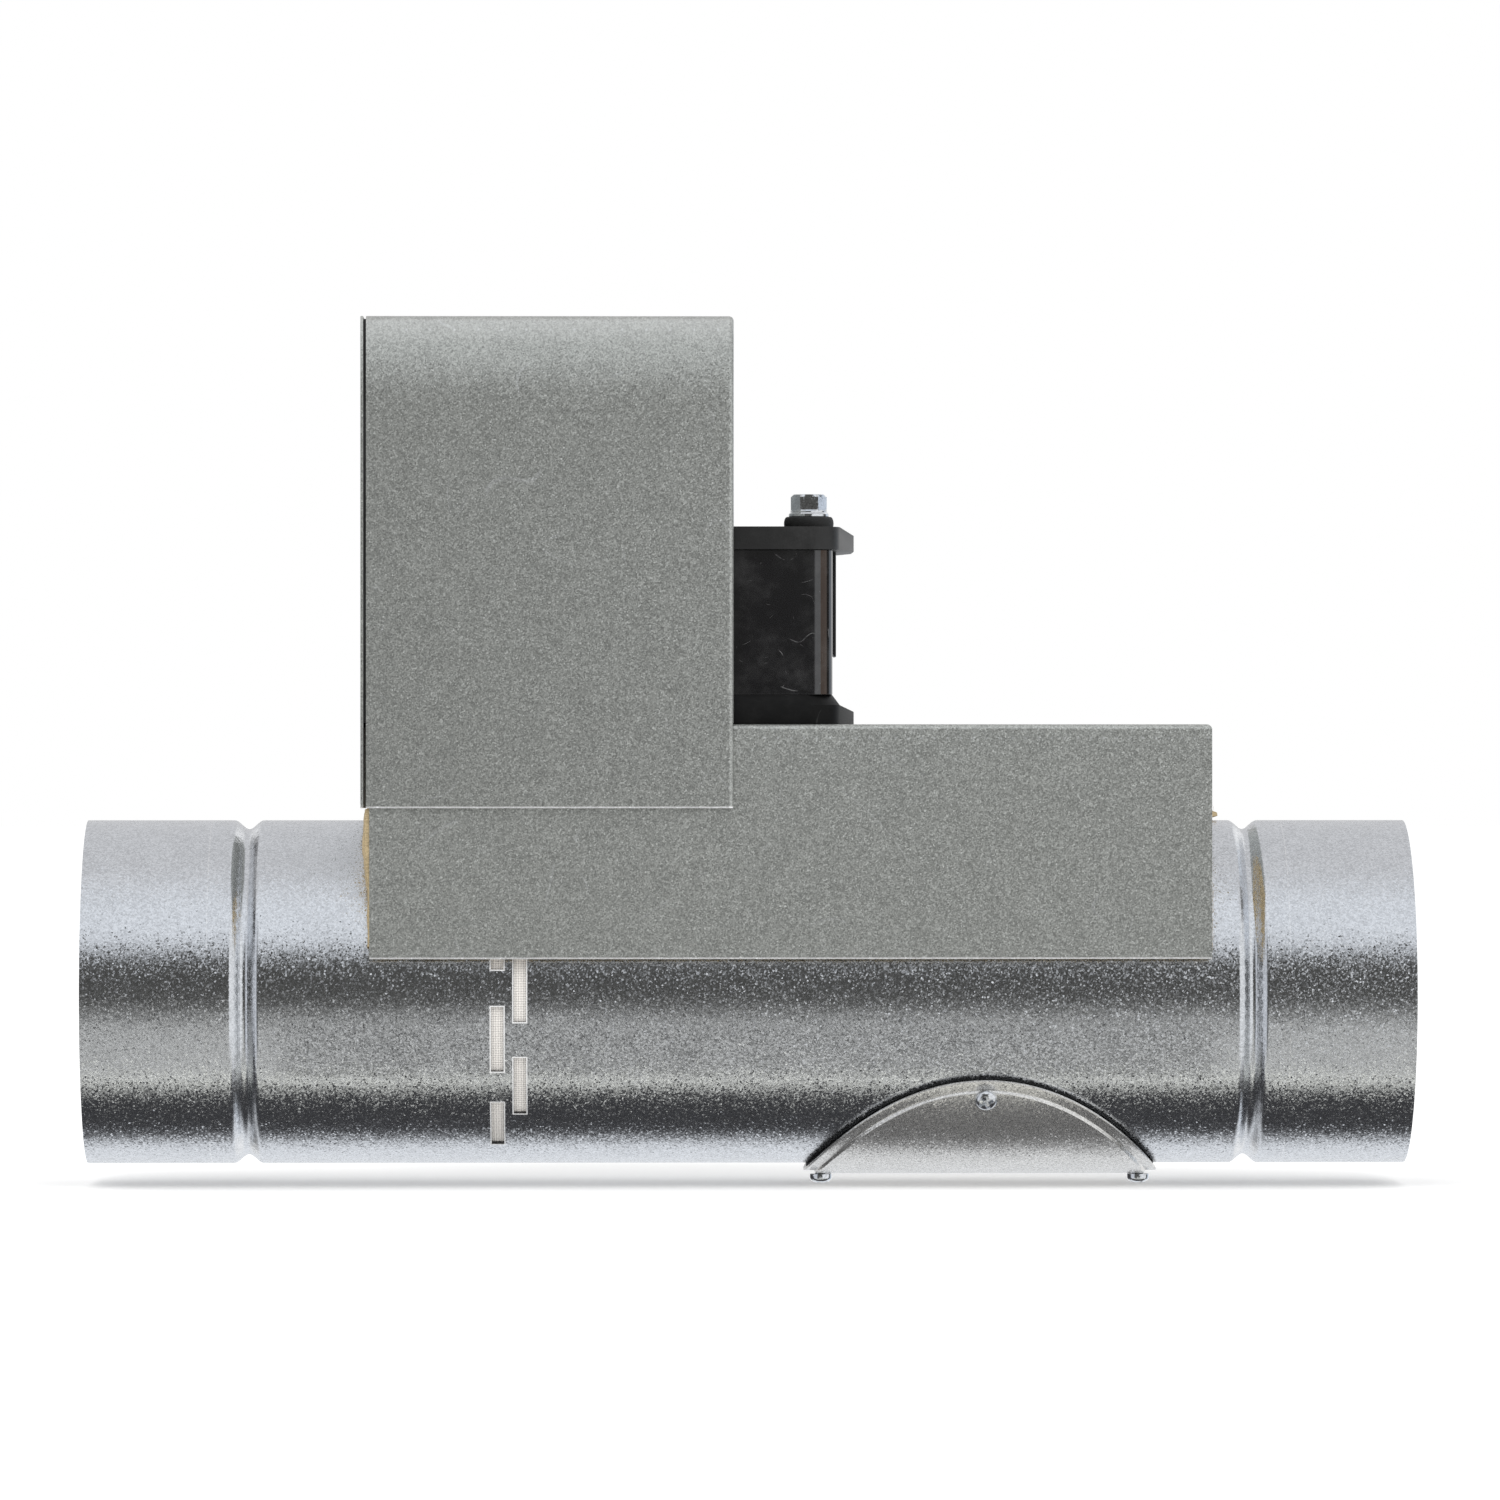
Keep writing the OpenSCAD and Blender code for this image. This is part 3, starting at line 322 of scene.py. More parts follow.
def add_node(tree, kind, inputs=None, **settings):
    """Adds a shader node with its settings, then feeds its sockets."""
    made = tree.nodes.new(kind)
    for name, value in settings.items():
        setattr(made, name, value)
    feed(tree, made, inputs or {})
    return made


def maths(tree, operation, *values):
    """Output of a Math node over values or sockets."""
    return add_node(tree, "ShaderNodeMath", dict(enumerate(values)), operation=operation).outputs[0]


def chain(tree, operation, first, *others):
    """One Math operation over two or more values, from the first to the last."""
    for other in others:
        first = maths(tree, operation, first, other)
    return first


def times(tree, *values):
    """Product."""
    return chain(tree, "MULTIPLY", *values)


def larger(tree, *values):
    """Largest of some values."""
    return chain(tree, "MAXIMUM", *values)


def minus(tree, first, second):
    """Difference."""
    return maths(tree, "SUBTRACT", first, second)


def apart(tree, first, second):
    """Difference without its sign."""
    return maths(tree, "ABSOLUTE", minus(tree, first, second))


def ratio(tree, first, second):
    """Quotient."""
    return maths(tree, "DIVIDE", first, second)


def distance_of(tree, first, second):
    """Root of the sum of two squares."""
    squares = maths(tree, "ADD", times(tree, first, first), times(tree, second, second))
    return maths(tree, "SQRT", squares)


def vector(tree, operation, *values):
    """Output of a Vector Math node over values or sockets."""
    made = add_node(tree, "ShaderNodeVectorMath", dict(enumerate(values)), operation=operation)
    return made.outputs["Value" if operation == "DOT_PRODUCT" else "Vector"]


def scaled(tree, value, factor):
    """Vector or colour times a factor."""
    return add_node(tree, "ShaderNodeVectorMath", {0: value, "Scale": factor}, operation="SCALE").outputs[0]


def noise(tree, where, scale, detail=2.0, roughness=0.5):
    """Noise from 0 to 1."""
    inputs = {"Vector": where, "Scale": scale, "Detail": detail, "Roughness": roughness}
    return add_node(tree, "ShaderNodeTexNoise", inputs).outputs[0]


def remap(tree, value, low, high, to_low=0.0, to_high=1.0, smooth=True):
    """Value carried from one range to another, clamped, with soft ends where smooth."""
    kind = "SMOOTHSTEP" if smooth else "LINEAR"
    inputs = {0: value, 1: low, 2: high, 3: to_low, 4: to_high}
    return add_node(tree, "ShaderNodeMapRange", inputs, interpolation_type=kind).outputs[0]


def blend(tree, factor, first, second):
    """Mix of two colours."""
    return add_node(tree, "ShaderNodeMix", {0: factor, 6: first, 7: second}, data_type="RGBA").outputs[2]


def fade(tree, value, low, high, first, second):
    """Colour that goes from first to second where a value passes from low to high."""
    return blend(tree, remap(tree, value, low, high), first, second)


def rgba(colour, level=1.0):
    """Four-part colour, scaled."""
    return (colour[0] * level, colour[1] * level, colour[2] * level, 1.0)


def parts_of(tree, value):
    """X, Y and Z of a vector."""
    return add_node(tree, "ShaderNodeSeparateXYZ", {0: value}).outputs


def object_axes(tree):
    """Object coordinates as one vector socket and three value sockets, in metres."""
    where = add_node(tree, "ShaderNodeTexCoord").outputs["Object"]
    return where, parts_of(tree, where)


def group(name, sockets_in, sockets_out, fill):
    """Shader group with named float inputs and outputs, built once; fill wires it from its input sockets."""
    tree = bpy.data.node_groups.get(name)
    if tree:
        return tree
    tree = bpy.data.node_groups.new(name, "ShaderNodeTree")
    for label, default in sockets_in.items():
        socket = tree.interface.new_socket(name=label, in_out="INPUT", socket_type="NodeSocketFloat")
        socket.default_value = default
    for label in sockets_out:
        kind = "NodeSocketVector" if label == "Normal" else "NodeSocketFloat"
        tree.interface.new_socket(name=label, in_out="OUTPUT", socket_type=kind)
    source = tree.nodes.new("NodeGroupInput")
    made = fill(tree, source.outputs)
    add_node(tree, "NodeGroupOutput", dict(zip(sockets_out, made)))
    return tree


def place_group(tree, made, inputs):
    """Adds the group's node first, because its sockets exist only once it has its tree."""
    holder = tree.nodes.new("ShaderNodeGroup")
    holder.node_tree = made
    feed(tree, holder, inputs)
    return holder.outputs


def grain_group():
    """Zinc crystals: cells of one tone, gloss and small tilt each, with fine noise and slow mottle."""
    def fill(tree, given):
        where, _ = object_axes(tree)
        scale = ratio(tree, 1.0 / MM, given["Size"])
        cells = add_node(tree, "ShaderNodeTexVoronoi", {"Vector": where, "Scale": scale}).outputs["Color"]
        tint = add_node(tree, "ShaderNodeSeparateColor", {0: cells}).outputs
        fine = noise(tree, where, scale, 3.0, 0.65)
        slow = noise(tree, where, ratio(tree, scale, 24.0))
        crystal = maths(tree, "MULTIPLY_ADD", tint[0], 0.5, times(tree, fine, 0.5))
        lean = vector(tree, "SUBTRACT", cells, (0.5, 0.5, 0.5))
        far = vector(tree, "DOT_PRODUCT", lean, lean)
        push = scaled(tree, lean, times(tree, far, 4.0, given["Tilt"]))
        facing = add_node(tree, "ShaderNodeNewGeometry").outputs["Normal"]
        normal = vector(tree, "NORMALIZE", vector(tree, "ADD", facing, push))
        return crystal, slow, fine, maths(tree, "POWER", tint[2], 3.0), normal
    return group("zinc_grain", {"Size": 0.7, "Tilt": 0.1}, ["Crystal", "Mottle", "Height", "Dull", "Normal"],
                 fill)


def scratch_group():
    """Fine straight scratches: thin slices of noise that is stretched along one turned direction."""
    def fill(tree, given):
        where, _ = object_axes(tree)
        marks = []
        for turn in (0.35, 1.2, 2.3):
            inputs = {"Vector": where, "Rotation": (turn, turn / 2, turn), "Scale": (1.0, 14.0, 1.0)}
            laid = add_node(tree, "ShaderNodeMapping", inputs).outputs[0]
            near = apart(tree, noise(tree, laid, given["Density"], 1.0), 0.5)
            gate = noise(tree, where, times(tree, given["Density"], 2.0 + turn))
            marks.append(times(tree, remap(tree, near, 0.004, 0.0), remap(tree, gate, 0.55, 0.66)))
        return (larger(tree, *marks),)
    return group("scratches", {"Density": 30.0}, ["Scratch"], fill)


def weave_group():
    """Plain weave round the duct: 0 between the threads and 1 on them, over (angle x radius) and length."""
    def fill(tree, given):
        _, axes = object_axes(tree)
        angle = maths(tree, "ARCTAN2", axes["Y"], axes["Z"])
        round_scale = ratio(tree, math.pi * (DUCT_R - 1.0), given["Thread"])
        along_scale = ratio(tree, math.pi / MM, given["Thread"])
        across = maths(tree, "SINE", times(tree, angle, round_scale))
        along = maths(tree, "SINE", times(tree, axes["X"], along_scale))
        return (times(tree, maths(tree, "ABSOLUTE", across), maths(tree, "ABSOLUTE", along)),)
    return group("weave", {"Thread": 0.6}, ["Hole"], fill)


def new_material(name):
    """Material with an empty tree, a Principled shader and its output."""
    material = bpy.data.materials.new(name)
    material.use_nodes = True
    tree = material.node_tree
    tree.nodes.clear()
    shader = tree.nodes.new("ShaderNodeBsdfPrincipled")
    add_node(tree, "ShaderNodeOutputMaterial", {"Surface": shader.outputs[0]})
    return material, tree, shader


def wire(tree, shader, **values):
    """Feeds sockets of the Principled shader, named with underscores for spaces."""
    feed(tree, shader, {label.replace("_", " "): value for label, value in values.items()})


def bump(tree, height, distance, under=None):
    """Normal from a height of 0 to 1 over a distance in metres."""
    inputs = {"Height": height, "Distance": distance, "Strength": 1.0}
    if under:
        inputs["Normal"] = under
    return add_node(tree, "ShaderNodeBump", inputs).outputs[0]


def facing_part(tree, axis):
    """One part of the real face's normal."""
    return parts_of(tree, add_node(tree, "ShaderNodeNewGeometry").outputs["True Normal"])[axis]


def zinc(name, colour, grain_mm, contrast, rough, tilt, relief=0.02, metallic=1.0, dull=0.0, extra=None,
         calm=None, painted_shade_mask=None):
    """Galvanised metal: each crystal has its own tone and its own small tilt, with fine relief over them.

    extra adds marks, calm gives the share of the tilt that is left, and the last argument paints shade: it
    gives the share by which the dark crystals are painted darker.
    """
    material, tree, shader = new_material(name)
    if calm:
        tilt = times(tree, calm(tree), tilt)
    grain = place_group(tree, grain_group(), {"Size": grain_mm, "Tilt": tilt})
    level = maths(tree, "MULTIPLY_ADD", grain["Crystal"], 0.85, times(tree, grain["Mottle"], 0.15))
    level = remap(tree, level, 0.3, 0.7, smooth=False)
    tint = blend(tree, level, rgba(colour, 1.0 - contrast), rgba(colour, 1.0 + contrast / 4))
    # Painted shade: inside the mask, the dark crystals are blended towards a quarter of the colour.
    if painted_shade_mask:
        dark = times(tree, minus(tree, 1.0, level), painted_shade_mask(tree))
        tint = blend(tree, dark, tint, rgba(colour, 0.25))
    normal = bump(tree, grain["Height"], relief * MM, under=grain["Normal"])
    roughness = maths(tree, "MULTIPLY_ADD", grain["Dull"], dull, rough)
    if extra:
        tint, metallic, normal = extra(tree, tint, metallic, normal)
    wire(tree, shader, Base_Color=tint, Metallic=metallic, Roughness=roughness, Normal=normal)
    return material


def from_middle(tree, axes):
    """Distance along the duct from its middle, in metres."""
    return apart(tree, axes["X"], DUCT_L / 2 * MM)


def from_ring(tree, axes, ring_x):
    """Distance along the duct from the nearer of the two rings that lie ring_x millimetres from its ends."""
    return apart(tree, from_middle(tree, axes), (DUCT_L / 2 - ring_x) * MM)


def scribed_ring(tree, axes, scribe_x):
    """Mask of a fine broken ring near each duct end, where the push-in depth is marked."""
    line = remap(tree, from_ring(tree, axes, scribe_x), 0.00024, 0.00006)
    where, _ = object_axes(tree)
    return times(tree, line, remap(tree, noise(tree, where, 900.0), 0.42, 0.62, 0.1, 0.6))


def slot_rims(tree, axes, s):
    """Mask round the slots: distance to the nearest slot of each row, over the arc from below and X."""
    aside = maths(tree, "ABSOLUTE", axes["Y"])
    arc = times(tree, maths(tree, "ARCTAN2", aside, times(tree, axes["Z"], -1.0)), DUCT_R)
    along = ratio(tree, axes["X"], MM)
    soft = 0.08
    half_l = s.slot_l / 2 + s.slot_burr
    half_w = s.slot_w / 2 + s.slot_burr
    rows = []
    for row_x, shift, last in ((-s.row_gap / 2, 0.0, 3), (s.row_gap / 2, 0.5, 2)):
        count = ratio(tree, minus(tree, arc, s.slot_first + shift * s.slot_pitch), s.slot_pitch)
        whole = larger(tree, maths(tree, "ROUND", count), 0.0)
        off = times(tree, apart(tree, count, maths(tree, "MINIMUM", whole, last)), s.slot_pitch)
        beside = apart(tree, along, SHAFT_X + row_x)
        in_length = remap(tree, off, half_l + soft, half_l - soft)
        in_width = remap(tree, beside, half_w + soft, half_w - soft)
        rows.append(times(tree, in_length, in_width))
    return larger(tree, *rows)


def smooth_beads(s):
    """Share of the crystals' tilt that is left: the pressed beads are smoother than the wall."""
    def calm(tree):
        _, axes = object_axes(tree)
        off = from_ring(tree, axes, s.bead_x)
        return remap(tree, off, 0.42 * s.bead_w * MM, 0.55 * s.bead_w * MM, 0.2, 1.0)
    return calm


def painted_shade_band(s):
    """Painted shade: mask of a band under the duct's middle, between the beads, in which the dark crystals are
    painted darker.
    """
    def painted_shade_mask(tree):
        _, axes = object_axes(tree)
        end = (DUCT_L / 2 - s.bead_x - s.bead_w / 2) * MM
        between = remap(tree, from_middle(tree, axes), end, 0.9 * end)
        height = ratio(tree, axes["Z"], DUCT_R * MM)
        band = times(tree, remap(tree, height, -0.1, -0.25), remap(tree, height, -0.5, -0.44))
        return times(tree, between, band, s.painted_shade_depth)
    return painted_shade_mask


def duct_marks(s):
    """Gives the duct its scribed rings, and its slots bright pressed rims that are partly a painted highlight,
    with painted shade on the walls inside.
    """
    def extra(tree, tint, metallic, normal):
        _, axes = object_axes(tree)
        # The rims round the slots are painted white and made less metallic: partly a painted highlight of the
        # pressed edge.
        rim = slot_rims(tree, axes, s)
        mark = larger(tree, scribed_ring(tree, axes, s.scribe_x), rim)
        tint = blend(tree, mark, tint, WHITE)
        # Painted shade: where the slot walls reach inside the outer skin, the rims' mask paints them nearly
        # black.
        reach = distance_of(tree, axes["Y"], axes["Z"])
        inside = remap(tree, reach, (DUCT_R - 0.03) * MM, (DUCT_R - 0.09) * MM)
        tint = blend(tree, times(tree, inside, rim), tint, (0.03, 0.03, 0.03, 1.0))
        return tint, maths(tree, "MULTIPLY_ADD", rim, -0.8, metallic), normal
    return extra


def press_marks(tree, axes, first_x, pitch, z_at):
    """Row of round dots at a height: distance to the nearest multiple of the pitch, cut to small discs."""
    along = ratio(tree, minus(tree, axes["X"], first_x * MM), pitch * MM)
    offset = times(tree, minus(tree, maths(tree, "FRACT", along), 0.5), pitch * MM)
    far = distance_of(tree, offset, minus(tree, axes["Z"], z_at * MM))
    return times(tree, remap(tree, far, 0.0006, 0.0001), remap(tree, along, 0.0, 0.01))


def sheet_marks(top_z, edge_z, first_x, pitch, sag, reach, painted_top_highlight=0.0):
    """Marks of a folded sheet: press dots, scratches, a bright burr on the lower edge that is partly a painted
    highlight, and a bulge above.

    The bulge falls sag millimetres over reach below the top, and the last argument paints a highlight: it
    lightens the sheet close to the top.
    """
    def extra(tree, tint, metallic, normal):
        _, axes = object_axes(tree)
        dots = times(tree, press_marks(tree, axes, first_x, pitch, top_z - 3.9), 0.3)
        scratch = place_group(tree, scratch_group(), {"Density": 22.0})["Scratch"]
        mark = larger(tree, dots, times(tree, scratch, 0.2))
        tint = blend(tree, mark, tint, (0.95, 0.97, 1.0, 1.0))
        # Partly painted highlight: the sheet within about half a millimetre of its lower edge is blended to
        # white, for the burr and the light it catches.
        burr_and_highlight = remap(tree, minus(tree, axes["Z"], edge_z * MM), 0.00062, 0.00035)
        tint = blend(tree, burr_and_highlight, tint, WHITE)
        # Painted highlight: the sheet is blended lighter within 8.5 mm below its top, by the given share.
        below = minus(tree, top_z * MM, axes["Z"])
        light = times(tree, remap(tree, below, 8.5 * MM, 0.0, smooth=False), painted_top_highlight)
        tint = blend(tree, light, tint, (0.9, 0.9, 0.88, 1.0))
        bulge = maths(tree, "POWER", remap(tree, below, reach * MM, 0.0, smooth=False), 2.0)
        return tint, metallic, bump(tree, minus(tree, 1.0, bulge), sag * MM, under=normal)
    return extra


def plain_metal(name, colour, rough):
    """Even metal with a faint grain."""
    return zinc(name, colour, grain_mm=0.5, contrast=0.12, rough=rough, tilt=0.06)


def cut_edge_material(bright, sheet):
    """Sheared sheet edge: freshly cut steel, painted bright as a highlight where it faces down, zinc coloured
    elsewhere.
    """
    material, tree, shader = new_material("cut_edge_painted_highlight")
    # Painted highlight: faces turned down are blended to the bright colour and made less metallic.
    facing_down_highlight = remap(tree, times(tree, facing_part(tree, "Z"), -1.0), 0.1, 0.4)
    tint = blend(tree, facing_down_highlight, rgba(sheet, 0.95), rgba(bright))
    metallic = maths(tree, "MULTIPLY_ADD", facing_down_highlight, -0.5, 0.6)
    wire(tree, shader, Base_Color=tint, Metallic=metallic, Roughness=0.45)
    return material


def plastic(name, colour, rough, relief, dust, scratches, specular=0.5, painted_warm_reflection=0.0):
    """Moulded plastic: fine texture, patches of dust, fine scratches and a painted warm reflection on round
    corners.
    """
    material, tree, shader = new_material(name)
    where, _ = object_axes(tree)
    fine = noise(tree, where, 2200.0)
    cloud = times(tree, remap(tree, noise(tree, where, 70.0, 8.0, 0.75), 0.42, 0.8), dust)
    scratch = place_group(tree, scratch_group(), {"Density": 60.0})["Scratch"]
    worn = larger(tree, cloud, times(tree, scratch, scratches))
    tint = blend(tree, worn, rgba(colour), (0.22, 0.22, 0.22, 1.0))
    roughness = maths(tree, "MULTIPLY_ADD", worn, 0.5, rough)
    # Painted reflection: the specular tint turns brown on faces turned partly sideways, as a warm reflection.
    across = maths(tree, "ABSOLUTE", facing_part(tree, "X"))
    corner = times(tree, remap(tree, across, 0.34, 0.48), remap(tree, across, 0.82, 0.74))
    warm_reflection_tint = blend(tree, times(tree, corner, painted_warm_reflection), WHITE, (0.62, 0.4, 0.27, 1.0))
    wire(tree, shader, Base_Color=tint, Roughness=roughness, Normal=bump(tree, fine, relief * MM),
         Specular_Tint=warm_reflection_tint, Specular_IOR_Level=specular)
    return material


def rubber(name, colour, rough=0.62):
    """Rubber: dull, with a fine grain."""
    return plastic(name, colour, rough, relief=0.03, dust=0.12, scratches=0.0)


def fibre(name, colour, dark, scale, relief):
    """Fibrous stuff: stretched noise in two directions on colour and height."""
    material, tree, shader = new_material(name)
    where, _ = object_axes(tree)
    layers = []
    for stretch in ((1.0, 5.0, 2.0), (1.0, 1.5, 6.0)):
        laid = add_node(tree, "ShaderNodeMapping", {"Vector": where, "Scale": stretch}).outputs[0]
        layers.append(noise(tree, laid, scale, 6.0, 0.7))
    both = times(tree, maths(tree, "ADD", *layers), 0.5)
    tint = blend(tree, remap(tree, both, 0.35, 0.65), rgba(colour, dark), rgba(colour, 1.1))
    wire(tree, shader, Base_Color=tint, Roughness=0.95, Normal=bump(tree, both, relief * MM))
    return material


def cloth_material(colour):
    """Glass cloth: raised threads, darker in the holes of the weave."""
    material, tree, shader = new_material("cream_glass_cloth")
    weave = place_group(tree, weave_group(), {"Thread": 0.72})
    lit = remap(tree, weave["Hole"], 0.0, 0.4)
    tint = blend(tree, lit, rgba(colour, 0.6), rgba(colour, 1.04))
    wire(tree, shader, Base_Color=tint, Roughness=0.9, Normal=bump(tree, lit, 0.05 * MM))
    return material


def even(name, colour, rough):
    """Even finish for small inner pieces, with a trace of noise in its tone and gloss."""
    material, tree, shader = new_material(name)
    where, _ = object_axes(tree)
    trace = noise(tree, where, 400.0, 4.0)
    tint = blend(tree, trace, rgba(colour, 0.9), rgba(colour, 1.08))
    wire(tree, shader, Base_Color=tint, Roughness=maths(tree, "MULTIPLY_ADD", trace, 0.12, rough - 0.06))
    return material


def finish(material, *node_names):
    """Gives CAD nodes that stay visible a material in each of their slots."""
    for node_name in node_names:
        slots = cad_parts[node_name].data.materials
        if not len(slots):
            slots.append(material)
        for index in range(len(slots)):
            slots[index] = material


# Duct


class DAMPER_OT_duct(bpy.types.Operator):
    """Duct body with smooth beads and rimmed slots"""

    bl_idname = "damper.duct"
    bl_label = "Duct body"

    def execute(self, context):
        s = context.scene.damper_sheet
        # The duct's zinc carries a band of painted shade under its middle.
        metal = zinc("bright_galvanised_duct", s.duct_colour, grain_mm=0.42, contrast=0.24, rough=0.08,
                     tilt=0.14, relief=0.03, dull=0.3, extra=duct_marks(s), calm=smooth_beads(s),
                     painted_shade_mask=painted_shade_band(s))
        work = merged_cad("duct_body")
        for off in (-s.slot_band, -s.slot_band / 2, s.slot_band / 2, s.slot_band):
            everything = work.verts[:] + work.edges[:] + work.faces[:]
            bmesh.ops.bisect_plane(work, geom=everything, dist=1e-8, plane_co=((SHAFT_X + off) * MM, 0, 0),
                                   plane_no=(1, 0, 0))
        bmesh.ops.bevel(work, geom=self.slot_edges(work), offset=s.slot_burr * MM, segments=1, profile=0.5,
                        affect="EDGES", clamp_overlap=True)
        mesh = mesh_from(work, "beaded_duct")
        self.lift_slots(mesh, s)
        piece = show("beaded_duct", mesh, CASING, "duct_zinc", metal)
        mesh.normals_split_custom_set(self.wall_normals(mesh, s))
        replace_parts(piece, "duct_body")
        return {"FINISHED"}

    def slot_edges(self, work, half_band=9.0, sharp_deg=50.0):
        """Sharp edges on the outside of the wall within half_band of the slots' middle."""
        limit = (DUCT_R - 0.05) * MM
        found = []
        for edge in work.edges:
            sharp = len(edge.link_faces) == 2 and edge.calc_face_angle(0.0) > math.radians(sharp_deg)
            places = [vertex.co for vertex in edge.verts]
            if sharp and all(abs(place.x - SHAFT_X * MM) < half_band * MM
                             and math.hypot(place.y, place.z) > limit for place in places):
                found.append(edge)
        return found

    def lift_slots(self, mesh, s):
        """Turns the slotted band up both its sides, less and less past its last slots and its width.

        Angle from the bottom line: turned = angle + slot_lift x (share of the angle) x (share of the width).
        """
        points = vertex_places(mesh)
        radius = np.hypot(points[:, 1], points[:, 2])
        angle = np.degrees(np.arctan2(np.abs(points[:, 1]), -points[:, 2]))
        turns = [0, s.slot_free, 180 - 1.3 * s.slot_free, 180 - s.slot_free / 2]
        in_turn = np.interp(angle, turns, [0, 1, 1, 0])
        off = np.abs(points[:, 0] - SHAFT_X)
        in_width = np.interp(off, [s.slot_band / 2 + 0.01, s.slot_band - 0.01], [1, 0])
        turned_to = np.radians(angle + s.slot_lift * in_turn * in_width)
        points[:, 1] = np.where(points[:, 1] < 0, -1, 1) * radius * np.sin(turned_to)
        points[:, 2] = -radius * np.cos(turned_to)
        mesh.vertices.foreach_set("co", (points * MM).ravel())
        mesh.update()

    def wall_normals(self, mesh, s):
        """Normals of the walls from the bead's raised cosine: the slope of depth x (1 + cos) / 2 along X."""
        corner_count = len(mesh.loops)
        vertex = np.empty(corner_count, dtype=np.int32)
        mesh.loops.foreach_get("vertex_index", vertex)
        place = vertex_places(mesh)[vertex]
        totals = np.empty(len(mesh.polygons), dtype=np.int32)
        mesh.polygons.foreach_get("loop_total", totals)
        flat = np.empty(len(mesh.polygons) * 3)
        mesh.polygons.foreach_get("normal", flat)
        flat = np.repeat(flat.reshape(-1, 3), totals, axis=0)
        radius = np.hypot(place[:, 1], place[:, 2])
        out = np.stack([np.zeros(corner_count), place[:, 1] / radius, place[:, 2] / radius], axis=1)
        facing = np.einsum("ij,ij->i", flat, out)
        slope = np.zeros(corner_count)
        for middle in (s.bead_x, DUCT_L - s.bead_x):
            inside = np.abs(place[:, 0] - middle) < s.bead_w / 2
            turn = 2 * np.pi * (place[:, 0] - middle) / s.bead_w
            slope += np.where(inside, np.pi * s.bead_depth / s.bead_w * np.sin(turn), 0.0)
        wall = out.copy()
        wall[:, 0] = -slope
        wall *= np.where(facing < 0, -1.0, 1.0)[:, None]
        wall /= np.linalg.norm(wall, axis=1)[:, None]
        on_wall = np.abs(facing) > 0.8
        return np.where(on_wall[:, None], wall, flat)


# Folded sheets


class DAMPER_OT_folded_sheets(bpy.types.Operator):
    """Low housing, drive cover, end plate and saddle brackets"""

    bl_idname = "damper.folded_sheets"
    bl_label = "Folded sheets"

    def execute(self, context):
        s = context.scene.damper_sheet
        edge = cut_edge_material(s.cut_edge_highlight_colour, s.sheet_colour)
        low_marks = sheet_marks(HOUSING_TOP, edge_z=10.5, first_x=COVER_HIGH[0] + 7.0, pitch=3.7, sag=0.5,
                                reach=10.0)
        # The tall cover gets a painted highlight close to its top.
        tall_marks = sheet_marks(COVER_HIGH[2], edge_z=COVER_LOW[2], first_x=COVER_LOW[0] + 8.0, pitch=6.8,
                                 sag=7.0, reach=25.0, painted_top_highlight=0.35)
        look = {"grain_mm": 0.36, "contrast": 0.38, "rough": 0.34, "tilt": 0.16, "metallic": 0.7,
                "dull": 0.1}
        low = zinc("dull_galvanised_housing", s.sheet_colour, extra=low_marks, **look)
        tall = zinc("dull_galvanised_cover", rgba(s.sheet_colour, 0.92), extra=tall_marks, **look)
        for node_name, name, metal in (("low_housing", "folded_low_housing", low),
                                       ("drive_cover", "folded_drive_cover", tall),
                                       ("end_plate", "flat_end_plate", tall)):
            edged_copy(node_name, name, s.cut_edge, CASING, "sheet_zinc", metal, edge)
        finish(low, "saddle_brackets")
        return {"FINISHED"}


# Screws


def thread(radius, pitch, length, core_share=0.78, tip=2.2, around=28):
    """Pointed threaded shank below z = 0: the radius follows a triangle wave of z / pitch - angle / turn."""
    rows_per_turn = 9
    root = 0.35
    flank = 0.5
    rows = int(length / pitch * rows_per_turn)
    height = -np.linspace(0, length, rows)[:, None]
    angle = full_turn(around)
    phase = height / pitch - angle / (2 * np.pi)
    ridge = 1 - 2 * np.abs(phase - np.floor(phase) - 0.5)
    share = core_share + (1 - core_share) * np.clip((ridge - root) / flank, 0, 1)
    taper = np.clip((length + height) / tip, 0, 1)
    points = round_points(radius * share * taper, angle, height)
    points = np.concatenate([np.zeros((1, around, 3)), points])
    return points.reshape(-1, 3), grid_faces(rows + 1, around)


def pan_head(head_r, head_h, rings=34, around=96):
    """Pan head with a cross recess: height = dome - depth x soft cross of two tapered arms."""
    rho = (head_r * np.linspace(0, 1, rings))[:, None]
    angle = full_turn(around)
    x = np.abs(rho * np.cos(angle))
    y = np.abs(rho * np.sin(angle))
    edge_h = head_h * 0.42
    dome = edge_h + (head_h - edge_h) * (1 - (rho / head_r) ** 3.2) ** 0.62
    off_arm = np.minimum(x, y)
    reach = np.maximum(x, y)
    arm = np.clip((head_r * 0.15 - off_arm) / (head_r * 0.05) + 0.5, 0, 1)
    end = np.clip((head_r * 0.6 - reach) / (head_r * 0.12) + 0.5, 0, 1)
    depth = head_h * 0.55 * (1 - 0.45 * reach / (head_r * 0.62))
    top = round_points(rho, angle, dome - depth * arm * end)
    chamfer = 0.15
    foot_z = np.array([[edge_h * 0.55], [0.12], [0.0], [0.0]])
    foot_r = np.array([[head_r], [head_r], [head_r - chamfer], [0.0]])
    points = np.concatenate([top, round_points(foot_r, angle, foot_z)])
    return points.reshape(-1, 3), grid_faces(len(points), around)


def pan_screw(s, scale=1.0, length=None):
    """Head and threaded shank of a small screw, underside of its head at the origin."""
    head = pan_head(s.head_r * scale, s.head_h * scale)
    shank = thread(s.shank_r * scale, s.pitch, length or s.length)
    return joined([head, shank])


